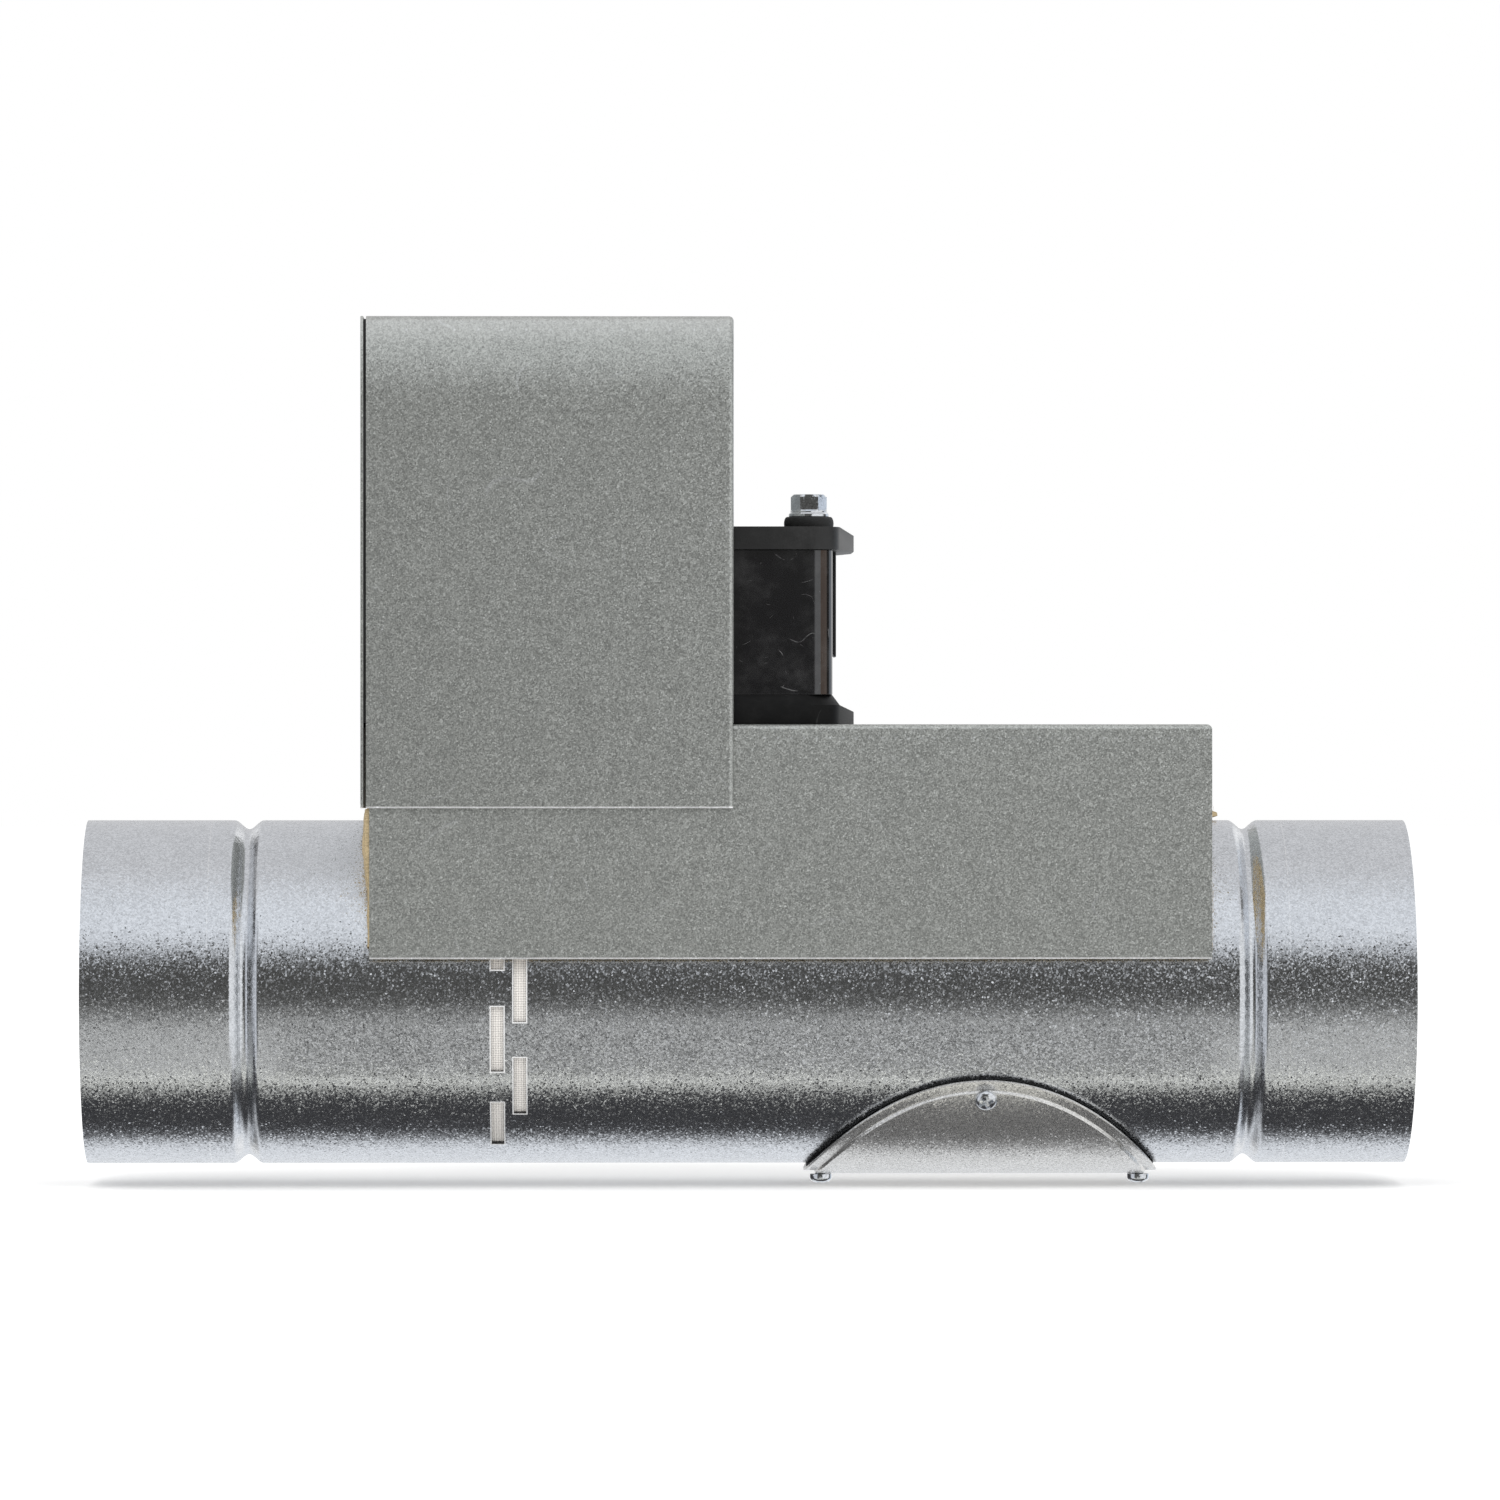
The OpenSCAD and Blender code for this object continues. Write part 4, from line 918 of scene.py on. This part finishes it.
def screw_row(name, part, places, node_name, slot_name, material, body=CASING):
    """Copies of one screw at (origin, up, side) places, as one piece that replaces a CAD node."""
    parts = [(placed(part[0], *place), part[1]) for place in places]
    piece = show(name, closed_mesh(name, *joined(parts)), body, slot_name, material)
    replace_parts(piece, node_name)
    return piece


class DAMPER_OT_small_screws(bpy.types.Operator):
    """Pan head screws of the inspection cover and of the drive cover"""

    bl_idname = "damper.small_screws"
    bl_label = "Small screws"

    def execute(self, context):
        s = context.scene.damper_screws
        i = context.scene.damper_inspection
        bright = zinc("bright_plated_screws", s.colour, grain_mm=0.4, contrast=0.16, rough=0.09, tilt=0.07)
        part = pan_screw(s)
        under_head = 0.1
        head_r = i.rim_r + i.step + i.sheet + under_head
        turn = (i.arc / 2 - i.screw_in) / i.rim_r
        reach = i.length / 2 - i.screw_in
        places = []
        for side in (-1, 1):
            places.append(((INSPECTION_X + side * reach, 0, -head_r), (0, 0, -1), (1, 0.4 * side, 0)))
        for side in (-1, 1):
            out = np.array([0, side * math.sin(turn), -math.cos(turn)])
            places.append((np.array([INSPECTION_X, 0, 0]) + out * head_r, out, (1, 0, 0.5)))
        screw_row("inspection_pan_screws", part, places, "inspection_screws", "zinc_screws", bright)
        y = COVER_HIGH[1] + 0.15
        flange_x = span("cover_screws")[0][0] + s.head_r
        flange_in = 16.0
        lap_in = 21.0
        lap_z = (COVER_LOW[2] + HOUSING_TOP) / 2
        spots = [(flange_x, y, HOUSING_TOP + flange_in), (flange_x, y, COVER_HIGH[2] - flange_in),
                 (COVER_LOW[0] + lap_in, y, lap_z), (COVER_HIGH[0] - lap_in, y, lap_z)]
        places = [(spot, (0, 1, 0), (1, 0, 0.3 + 0.4 * k)) for k, spot in enumerate(spots)]
        screw_row("cover_pan_screws", part, places, "cover_screws", "zinc_screws", bright)
        return {"FINISHED"}


class DAMPER_OT_drive_screw(bpy.types.Operator):
    """Long hex screw of the drive with its collar and its rubber washer"""

    bl_idname = "damper.drive_screw"
    bl_label = "Drive screw"

    def execute(self, context):
        s = context.scene.damper_screws
        d = context.scene.damper_drive
        bright = bpy.data.materials["bright_plated_screws"]
        low, high = span("drive_screw")
        washer_low, washer_high = span("drive_screw_washer")
        seat = washer_high[2]
        collar_r = (high[0] - low[0]) / 2
        head = self.hex_head(s.flats, collar_r, collar_t=1.6, top=high[2] - seat)
        shank = thread(radius=2.9, pitch=1.8, length=seat - low[2], core_share=0.8, tip=5.8, around=32)
        points, faces = joined([head, shank])
        mesh = closed_mesh("drive_hex_screw", placed(points, (BOLT_X, 0, seat), (0, 0, 1)), faces)
        piece = show("drive_hex_screw", mesh, CASING, "zinc_screws", bright, smooth_deg=28.0)
        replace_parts(piece, "drive_screw")
        washer = self.washer((washer_high[0] - washer_low[0]) / 2, washer_high[2] - washer_low[2], collar_r)
        points, faces = turned(washer)
        mesh = closed_mesh("washer", placed(points, (BOLT_X, 0, washer_low[2]), (0, 0, 1)), faces)
        soft = rubber("washer_rubber", d.rubber_colour)
        piece = show("domed_rubber_washer", mesh, CASING, "washer_rubber", soft)
        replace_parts(piece, "drive_screw_washer")
        return {"FINISHED"}

    def washer(self, rim_r, tall, collar_r, hole_r=3.3, bulge=0.9, under_collar=0.6):
        """Closed profile of the washer: its rim is half an ellipse, bulge wide and as tall as the washer."""
        angle = np.linspace(-np.pi / 2, np.pi / 2, 13)
        rim = np.stack([rim_r - bulge + bulge * np.cos(angle), tall / 2 * (1 + np.sin(angle))], axis=1)
        top = [[collar_r - under_collar, tall], [hole_r, tall], [hole_r, 0.0]]
        return np.concatenate([[[hole_r, 0.0]], rim, top])

    def hex_head(self, flats, collar_r, collar_t, top, around=144):
        """Flange head: the upper circles are cut by the hexagon flats / 2 / cos(angle to the nearest face)."""
        angle = full_turn(around)
        to_face = np.mod(angle, np.pi / 3) - np.pi / 6
        hexagon = flats / 2 / np.cos(to_face)
        corner = flats / math.sqrt(3)
        rows = [(0.0, top - 0.5, 1), (flats * 0.3, top - 0.5, 1),
                (flats * 0.36, top, 1), (flats * 0.47, top, 1),
                (flats * 0.5, top - 0.1, 1), (corner, top - 0.75, 1), (corner, collar_t + 0.45, 1),
                (corner + 0.1, collar_t, 0), (collar_r - 0.5, collar_t - 0.3, 0),
                (collar_r, collar_t * 0.5, 0),
                (collar_r, 0.15, 0), (collar_r - 0.15, 0.0, 0), (0.0, 0.0, 0)]
        radius, height, cut = np.array(rows).T[:, :, None]
        rho = np.where(cut > 0, np.minimum(radius, hexagon), radius)
        return round_points(rho, angle, height).reshape(-1, 3), grid_faces(len(rows), around)


# Inspection cover


class DAMPER_OT_inspection_cover(bpy.types.Operator):
    """Oval cover bent round the duct, with its rim and step, on its gasket"""

    bl_idname = "damper.inspection_cover"
    bl_label = "Inspection cover"

    def execute(self, context):
        i = context.scene.damper_inspection
        metal = zinc("inspection_cover_zinc", context.scene.damper_sheet.cover_colour, grain_mm=0.36,
                     contrast=0.3, rough=0.2, tilt=0.12, metallic=0.85, dull=0.15)
        edge = np.array([0.0, 0.06, 0.2])
        rim = np.linspace(0.5, i.rim - 0.4, 4)
        step = np.linspace(i.rim - 0.1, i.rim + 0.62 * i.step + 0.1, 10)
        half = i.length / 2
        shares = np.array([1, .97, .9, .8, .66, .52, .38, .24, .1, 0.0])
        field = half - (half - i.rim - i.step - 0.6) * shares
        inset = np.concatenate([edge, rim, step, field])
        lift = i.step * self.smooth((inset - i.rim) / (0.62 * i.step))
        rounding = np.interp(inset, [0, 0.06, 0.2, 0.5], [0.2, 0.08, 0.02, 0.0])
        outer = self.skin(i, inset, i.rim_r + i.sheet + lift - rounding)
        inner = self.skin(i, inset, i.rim_r + lift + rounding)
        points = np.concatenate([outer[::-1], inner])
        mesh = closed_mesh("oval_cover", points.reshape(-1, 3), grid_faces(len(points), points.shape[1]))
        piece = show("oval_inspection_cover", mesh, CASING, "cover_zinc", metal)
        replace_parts(piece, "inspection_cover")
        finish(rubber("black_cover_gasket", context.scene.damper_drive.rubber_colour, 0.7),
               "inspection_gasket", "cover_gasket")
        return {"FINISHED"}

    def smooth(self, t):
        """Smooth step 3t^2 - 2t^3, held at 0 and 1 outside."""
        t = np.clip(t, 0, 1)
        return t * t * (3 - 2 * t)

    def skin(self, i, inset, radius, around=160):
        """Rings of the bent oval: x = a cos t, and the arc b sin t is wound round at the ring's radius."""
        t = full_turn(around)
        share = 1 - inset / (i.length / 2)
        a = (i.length / 2 * share)[:, None]
        b = (np.maximum(i.arc / 2 - inset, 0) * np.clip(share * 40, 0, 1))[:, None]
        turn = b * np.sin(t) / i.rim_r
        radius = np.broadcast_to(radius[:, None], turn.shape)
        x = INSPECTION_X + a * np.cos(t)
        return np.stack([x, radius * np.sin(turn), -radius * np.cos(turn)], axis=-1)


# Drive


class DAMPER_OT_drive(bpy.types.Operator):
    """Drive housing: base plate, glossy body, lid, end clip and position scale"""

    bl_idname = "damper.drive"
    bl_label = "Drive"

    def execute(self, context):
        d = context.scene.damper_drive
        matt = plastic("matt_black_plates", d.shell_colour, rough=0.42, relief=0.03, dust=0.1, scratches=0.1,
                       specular=0.4)
        # Painted shade: the base plate is a darker copy of the matt black plates' plastic.
        dark = plastic("base_plate_painted_shade", rgba(d.shell_colour, 0.3), rough=0.5, relief=0.03, dust=0.04,
                       scratches=0.1, specular=0.15)
        # The glossy body gets a painted warm reflection on its rounded corners.
        gloss = plastic("glossy_black_body", d.body_colour, rough=0.07, relief=0.002, dust=0.16,
                        scratches=0.5, specular=1.1, painted_warm_reflection=0.8)
        for node_name, name, look in (("drive_base", "drive_base_plate", dark),
                                      ("drive_lid", "drive_top_plate", matt)):
            edged_copy(node_name, name, d.plate_round, CASING, "drive_plastic", look, segments=3,
                       corner_deg=50)
        edged_copy("drive_body", "drive_glossy_body", d.body_round, CASING, "drive_gloss", gloss)
        edged_copy("drive_clip", "drive_end_clip", d.body_round, CASING, "drive_plastic", matt)
        finish(even("white_scale_plate", (0.72, 0.72, 0.70), 0.5), "position_scale")
        return {"FINISHED"}


# Insulation


class DAMPER_OT_insulation(bpy.types.Operator):
    """Mineral wool with tufted ends, glass cloth and intumescent strips"""

    bl_idname = "damper.insulation"
    bl_label = "Insulation"

    def execute(self, context):
        s = context.scene.damper_insulation
        wool = fibre("mustard_mineral_wool", s.wool_colour, dark=0.55, scale=700.0, relief=0.4)
        self.core(s.set_back, wool)
        finish(cloth_material(s.cloth_colour), "glass_cloth")
        finish(even("graphite_strip", (0.03, 0.03, 0.032), 0.7), "intumescent_strips")
        low, high = span("mineral_wool")
        random = np.random.default_rng(7)
        ends = (("left", low[0] + s.set_back, -1, s.slope - s.set_back, s.fluff, 0.0),
                ("right", high[0], 1, 0.0, s.fluff / 8, s.crest))
        for label, x, side, slope, fluff, crest in ends:
            tufts = self.tufts(x, side, slope, fluff, crest, low, high, random)
            strands = self.strands(x, side, slope, s.strand_count, low, high, random)
            name = "wool_tufts_" + label
            show(name, closed_mesh(name, *tufts), CASING, "mineral_wool", wool)
            name = "wool_strands_" + label
            show(name, closed_mesh(name, *strands), CASING, "mineral_wool", wool)
        return {"FINISHED"}

    def core(self, set_back, wool):
        """Copy of the CAD node whose left face is set back under its tufts."""
        mesh = mesh_from(merged_cad("mineral_wool"), "packed_mineral_wool")
        points = vertex_places(mesh)
        on_face = points[:, 0] < points[:, 0].min() + 0.1
        points[:, 0] += np.where(on_face, set_back, 0.0)
        mesh.vertices.foreach_set("co", (points * MM).ravel())
        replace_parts(show("packed_mineral_wool", mesh, CASING, "mineral_wool", wool), "mineral_wool")

    def edge_radius(self, angle, high):
        """Distance from the duct's axis to the wool's edge: its side walls or the plates' lower level."""
        side = (high[1] - 0.1) / np.maximum(np.abs(np.cos(angle)), 1e-6)
        top = (COVER_LOW[2] - 0.6) / np.maximum(np.sin(angle), 1e-6)
        return np.minimum(side, top)

    def fall_back(self, z, slope, under_cover=14.0, over=11.0):
        """How far the end lies behind its face at a height: it slopes back over some way under the cover."""
        start = COVER_LOW[2] - under_cover
        return np.interp(z, [start - over, start], [slope, 0.0])

    def tufts(self, x, side, slope, fluff, crest, low, high, random):
        """Closed lumpy skin on the wool's end: summed waves of angle and radius lift it along the duct."""
        first = math.asin((low[2] + 1.5) / (DUCT_R + 0.4))
        angle = np.linspace(first, np.pi - first, 420)[:, None]
        share = np.linspace(0, 1, 18)[None, :]
        inner = DUCT_R + 0.35
        outer = self.edge_radius(angle, high)
        rho = inner + np.maximum(outer - inner, 0.05) * share
        waves = np.zeros(rho.shape)
        for _ in range(26):
            pull = random.uniform(8, 90)
            push = random.uniform(0.1, 1.6)
            waves += np.sin(angle * pull + rho * push + random.uniform(0, 6.28)) / (0.6 + pull / 40)
        waves = np.clip((waves - waves.min()) / (waves.max() - waves.min()) * 1.5 - 0.25, 0, 1)
        taper = np.clip(1.6 * (1 - np.abs(2 * share - 1)), 0, 1) ** 0.5
        peak = crest * np.exp(-((angle - np.pi / 2) / 0.2) ** 2)
        lift = np.where(taper > 0, 0.05 + (fluff + peak) * waves * taper, 0.0)
        face = x - side * self.fall_back(rho * np.sin(angle), slope)
        rows = [face - side * 0.3, face + side * lift]
        sheets = [np.stack([row, rho * np.cos(angle), rho * np.sin(angle)], axis=-1) for row in rows]
        loop = np.concatenate([sheets[0], sheets[1][:, ::-1]], axis=1)
        return loop.reshape(-1, 3), grid_faces(len(loop), loop.shape[1])

    def strands(self, x, side, slope, count, low, high, random):
        """Thin three-sided fibres: each follows a short parabola away from the end and back to it."""
        first = math.asin((low[2] + 2) / (DUCT_R + 0.4))
        angle = random.uniform(first, np.pi - first, count)[:, None, None]
        inner = DUCT_R + 0.5
        outer = self.edge_radius(angle, high) - 0.5
        rho = inner + np.maximum(outer - inner, 0.1) * random.uniform(0, 1, (count, 1, 1))
        along = np.linspace(0, 1, 6)[None, :, None]
        heading = random.uniform(0, 2 * np.pi, (count, 1, 1))
        reach = random.uniform(0.6, 2.6, (count, 1, 1))
        rise = random.uniform(0.1, 0.45, (count, 1, 1))
        corner = np.array([0, 2 * np.pi / 3, 4 * np.pi / 3])[None, None, :]
        thick = 0.04 * (1 - 0.6 * along)
        across = thick * np.cos(corner)
        out = thick * np.sin(corner)
        y = rho * np.cos(angle) + reach * along * np.cos(heading) - across * np.sin(heading)
        z = rho * np.sin(angle) + reach * along * np.sin(heading) + across * np.cos(heading)
        lift = 0.15 + 4 * rise * along * (1 - along) + out
        far = np.hypot(y, z)
        squeeze = np.maximum(far, inner) / far
        z = z * squeeze
        y = np.clip(y * squeeze, low[1], high[1])
        points = np.stack([x + side * (lift - self.fall_back(z, slope)), y, z], axis=-1)
        every = (np.arange(count) * 18)[:, None, None] + grid_faces(6, 3)[None]
        return points.reshape(-1, 3), every.reshape(-1, 4)


# Blade and its drive train


class DAMPER_OT_blade(bpy.types.Operator):
    """Blade board, seal, steel strips, shaft and the drive's hub, clamp and pointer"""

    bl_idname = "damper.blade"
    bl_label = "Blade"

    def execute(self, context):
        s = context.scene.damper_insulation
        board = fibre("silicate_board", s.board_colour, dark=0.86, scale=260.0, relief=0.12)
        steel = plain_metal("plated_steel", (0.62, 0.63, 0.65), 0.28)
        hub = plain_metal("sintered_metal", (0.42, 0.42, 0.43), 0.42)
        brass = plain_metal("turned_brass", (0.62, 0.45, 0.20), 0.3)
        bright = bpy.data.materials["bright_plated_screws"]
        edged_copy("blade_board", "blade_silicate_board", 0.5, BLADE, "blade_board", board)
        finish(rubber("blade_lip_seal", context.scene.damper_drive.rubber_colour), "blade_seal")
        finish(steel, "blade_straps", "blade_shaft", "u_bolt")
        finish(bright, "cross_nuts", "clamp_nuts")
        finish(hub, "drive_hub", "hub_clamp")
        finish(brass, "upper_bush", "pivot_cup")
        finish(even("red_pointer", (0.55, 0.03, 0.02), 0.35), "position_pointer")
        low, high = span("cross_screws")
        head_r = (high[0] - low[0]) / 2
        head_h = 2.4
        shank_r = 2.0
        tip_r = 1.6
        foot = head_h - (high[1] - low[1])
        profile = [[0.0, 0.0], [shank_r, 0.0], [shank_r, foot + 0.4], [tip_r, foot], [0.0, foot]]
        part = joined([pan_head(head_r, head_h), turned(np.array(profile), 32)])
        reach = high[2] - 3.5
        places = [((SHAFT_X, low[1] + head_h, side * reach), (0, -1, 0), (1, 0, side * 0.6))
                  for side in (-1, 1)]
        screw_row("blade_cross_screws", part, places, "cross_screws", "zinc_screws", bright, BLADE)
        return {"FINISHED"}


# Cable entry and terminals


class DAMPER_OT_wiring(bpy.types.Operator):
    """Closed rubber grommets in the cover's back wall, and the terminal block"""

    bl_idname = "damper.wiring"
    bl_label = "Grommets and terminals"

    def execute(self, context):
        soft = rubber("grommet_rubber", context.scene.damper_drive.rubber_colour)
        finish(soft, "cable_grommets")
        finish(even("grey_terminal_block", (0.42, 0.43, 0.42), 0.45), "terminal_block")
        finish(bpy.data.materials["bright_plated_screws"], "terminal_screws")
        return {"FINISHED"}


# Stage


class DAMPER_OT_stage(bpy.types.Operator):
    """Pale floor, plain soft light, studio world and the camera"""

    bl_idname = "damper.stage"
    bl_label = "Stage"

    def execute(self, context):
        s = context.scene.damper_stage
        context.scene.view_settings.view_transform = "Standard"
        self.floor()
        self.world(context.scene, s)
        self.lamp(s)
        data = bpy.data.cameras.new("photo_camera")
        data.sensor_width = 36.0
        data.sensor_height = 36.0
        data.lens = data.sensor_width * s.distance / s.frame_width
        data.clip_end = 100.0
        camera = bpy.data.objects.new("photo_camera", data)
        aside = s.distance * math.sin(s.camera_turn)
        camera.location = (s.centre_x - aside, -s.distance * math.cos(s.camera_turn), s.centre_z)
        camera.rotation_euler = (math.pi / 2, 0.0, -s.camera_turn)
        context.scene.collection.objects.link(camera)
        context.scene.camera = camera
        return {"FINISHED"}

    def floor(self, half=12.0, under=0.0002):
        """Square plane just under the object. It looks white to the camera and keeps the soft shadow."""
        z = CAD_BOX[0][2] - under
        mesh = bpy.data.meshes.new("pale_floor")
        corners = [(-half, -half, z), (half, -half, z), (half, half, z), (-half, half, z)]
        mesh.from_pydata(corners, [], [(0, 1, 2, 3)])
        material, tree, shader = new_material("pale_floor")
        ray = add_node(tree, "ShaderNodeLightPath").outputs["Is Camera Ray"]
        wire(tree, shader, Base_Color=(0.9, 0.9, 0.9, 1.0), Roughness=1.0, Emission_Color=WHITE,
             Emission_Strength=times(tree, ray, 0.28), Specular_IOR_Level=0.0)
        mesh.materials.append(material)
        floor = bpy.data.objects.new("pale_floor", mesh)
        bpy.context.scene.collection.objects.link(floor)
        floor.visible_glossy = False

    def world(self, scene, s):
        """White to the camera, even light to matt surfaces, and a soft studio of screens to gloss.

        From the front over the top: room, ceiling, back. From the front down: table, its edge, a gap, back.
        """
        world = bpy.data.worlds.new("studio")
        world.use_nodes = True
        tree = world.node_tree
        tree.nodes.clear()
        way = parts_of(tree, add_node(tree, "ShaderNodeTexCoord").outputs["Generated"])
        toward = times(tree, way["Y"], -1.0)
        degree = 180 / math.pi
        rise = times(tree, maths(tree, "ARCTAN2", way["Z"], toward), degree)
        aside = times(tree, maths(tree, "ARCTAN2", way["X"], toward), degree)
        room = rgba((0.085, 0.084, 0.080))
        gap = rgba((0.055, 0.055, 0.058))
        around = fade(tree, rise, 18.0, 37.0, room, rgba((0.83, 0.855, 0.89)))
        around = fade(tree, rise, 55.0, 95.0, around, rgba((0.68, 0.68, 0.69)))
        around = fade(tree, rise, -4.0, -28.0, around, rgba((0.53, 0.53, 0.515)))
        around = fade(tree, rise, -56.0, -60.0, around, rgba((0.84, 0.84, 0.78)))
        around = fade(tree, rise, -62.0, -72.0, around, gap)
        around = fade(tree, rise, -107.0, -128.0, around, rgba((0.86, 0.88, 0.91)))
        wave = maths(tree, "SINE", times(tree, rise, 0.8))
        below = times(tree, remap(tree, rise, 12.0, 2.0), remap(tree, rise, -114.0, -104.0))
        striped = scaled(tree, around, maths(tree, "MULTIPLY_ADD", times(tree, wave, below), s.stripes, 1.0))
        side = fade(tree, aside, 11.0, 22.0, room, rgba((0.86, 0.87, 0.88)))
        side = fade(tree, aside, 88.0, 96.0, side, room)
        side = fade(tree, aside, 108.0, 116.0, side, rgba((0.62, 0.68, 0.76)))
        side = fade(tree, aside, 126.0, 150.0, side, WHITE)
        side = fade(tree, aside, -30.0, -48.0, side, rgba((0.66, 0.68, 0.72)))
        side = fade(tree, aside, -76.0, -84.0, side, gap)
        side = fade(tree, aside, -142.0, -165.0, side, WHITE)
        off_middle = maths(tree, "ABSOLUTE", way["X"])
        height = maths(tree, "ABSOLUTE", way["Z"])
        sideways = times(tree, remap(tree, off_middle, 0.2, 0.33), remap(tree, height, 0.75, 0.45))
        studio = blend(tree, sideways, striped, side)
        path = add_node(tree, "ShaderNodeLightPath").outputs
        shiny = blend(tree, path["Is Glossy Ray"], rgba(WHITE, s.fill), studio)
        seen = larger(tree, path["Is Camera Ray"], path["Is Transmission Ray"])
        colour = blend(tree, seen, shiny, WHITE)
        back = add_node(tree, "ShaderNodeBackground", {"Color": colour, "Strength": 1.0})
        add_node(tree, "ShaderNodeOutputWorld", {"Surface": back.outputs[0]})
        scene.world = world

    def lamp(self, s):
        """One large soft lamp above and before the object, which metal doesn't mirror."""
        data = bpy.data.lights.new("soft_lamp", "AREA")
        data.energy = s.lamp
        data.size = 1.6
        lamp = bpy.data.objects.new("soft_lamp", data)
        lamp.location = (0.1, -1.1, 1.7)
        lamp.rotation_euler = (math.radians(32), 0.0, 0.0)
        lamp.visible_glossy = False
        bpy.context.scene.collection.objects.link(lamp)


OPERATORS = (
    DAMPER_OT_duct,
    DAMPER_OT_folded_sheets,
    DAMPER_OT_small_screws,
    DAMPER_OT_drive_screw,
    DAMPER_OT_inspection_cover,
    DAMPER_OT_drive,
    DAMPER_OT_insulation,
    DAMPER_OT_blade,
    DAMPER_OT_wiring,
    DAMPER_OT_stage,
)

SETTINGS = {
    "damper_sheet": DamperSheetSettings,
    "damper_inspection": DamperInspectionSettings,
    "damper_screws": DamperScrewSettings,
    "damper_drive": DamperDriveSettings,
    "damper_insulation": DamperInsulationSettings,
    "damper_stage": DamperStageSettings,
}


class DAMPER_PT_sidebar(bpy.types.Panel):
    """Settings and build steps of the damper"""

    bl_label = "Fire Damper"
    bl_idname = "DAMPER_PT_sidebar"
    bl_space_type = "VIEW_3D"
    bl_region_type = "UI"
    bl_category = "Damper"

    def draw(self, context):
        for holder in SETTINGS:
            box = self.layout.box()
            settings = getattr(context.scene, holder)
            for label in settings.__annotations__:
                box.prop(settings, label)
        for operator in OPERATORS:
            self.layout.operator(operator.bl_idname)


def register():
    for holder, settings in SETTINGS.items():
        bpy.utils.register_class(settings)
        setattr(bpy.types.Scene, holder, PointerProperty(type=settings))
    for operator in OPERATORS:
        bpy.utils.register_class(operator)
    bpy.utils.register_class(DAMPER_PT_sidebar)


def unregister():
    bpy.utils.unregister_class(DAMPER_PT_sidebar)
    for operator in reversed(OPERATORS):
        bpy.utils.unregister_class(operator)
    for holder, settings in SETTINGS.items():
        delattr(bpy.types.Scene, holder)
        bpy.utils.unregister_class(settings)


def main():
    """Registers the add-on, then builds every piece and the stage."""
    register()
    for operator in OPERATORS:
        area, action = operator.bl_idname.split(".")
        getattr(getattr(bpy.ops, area), action)()


if __name__ == "__main__":
    main()
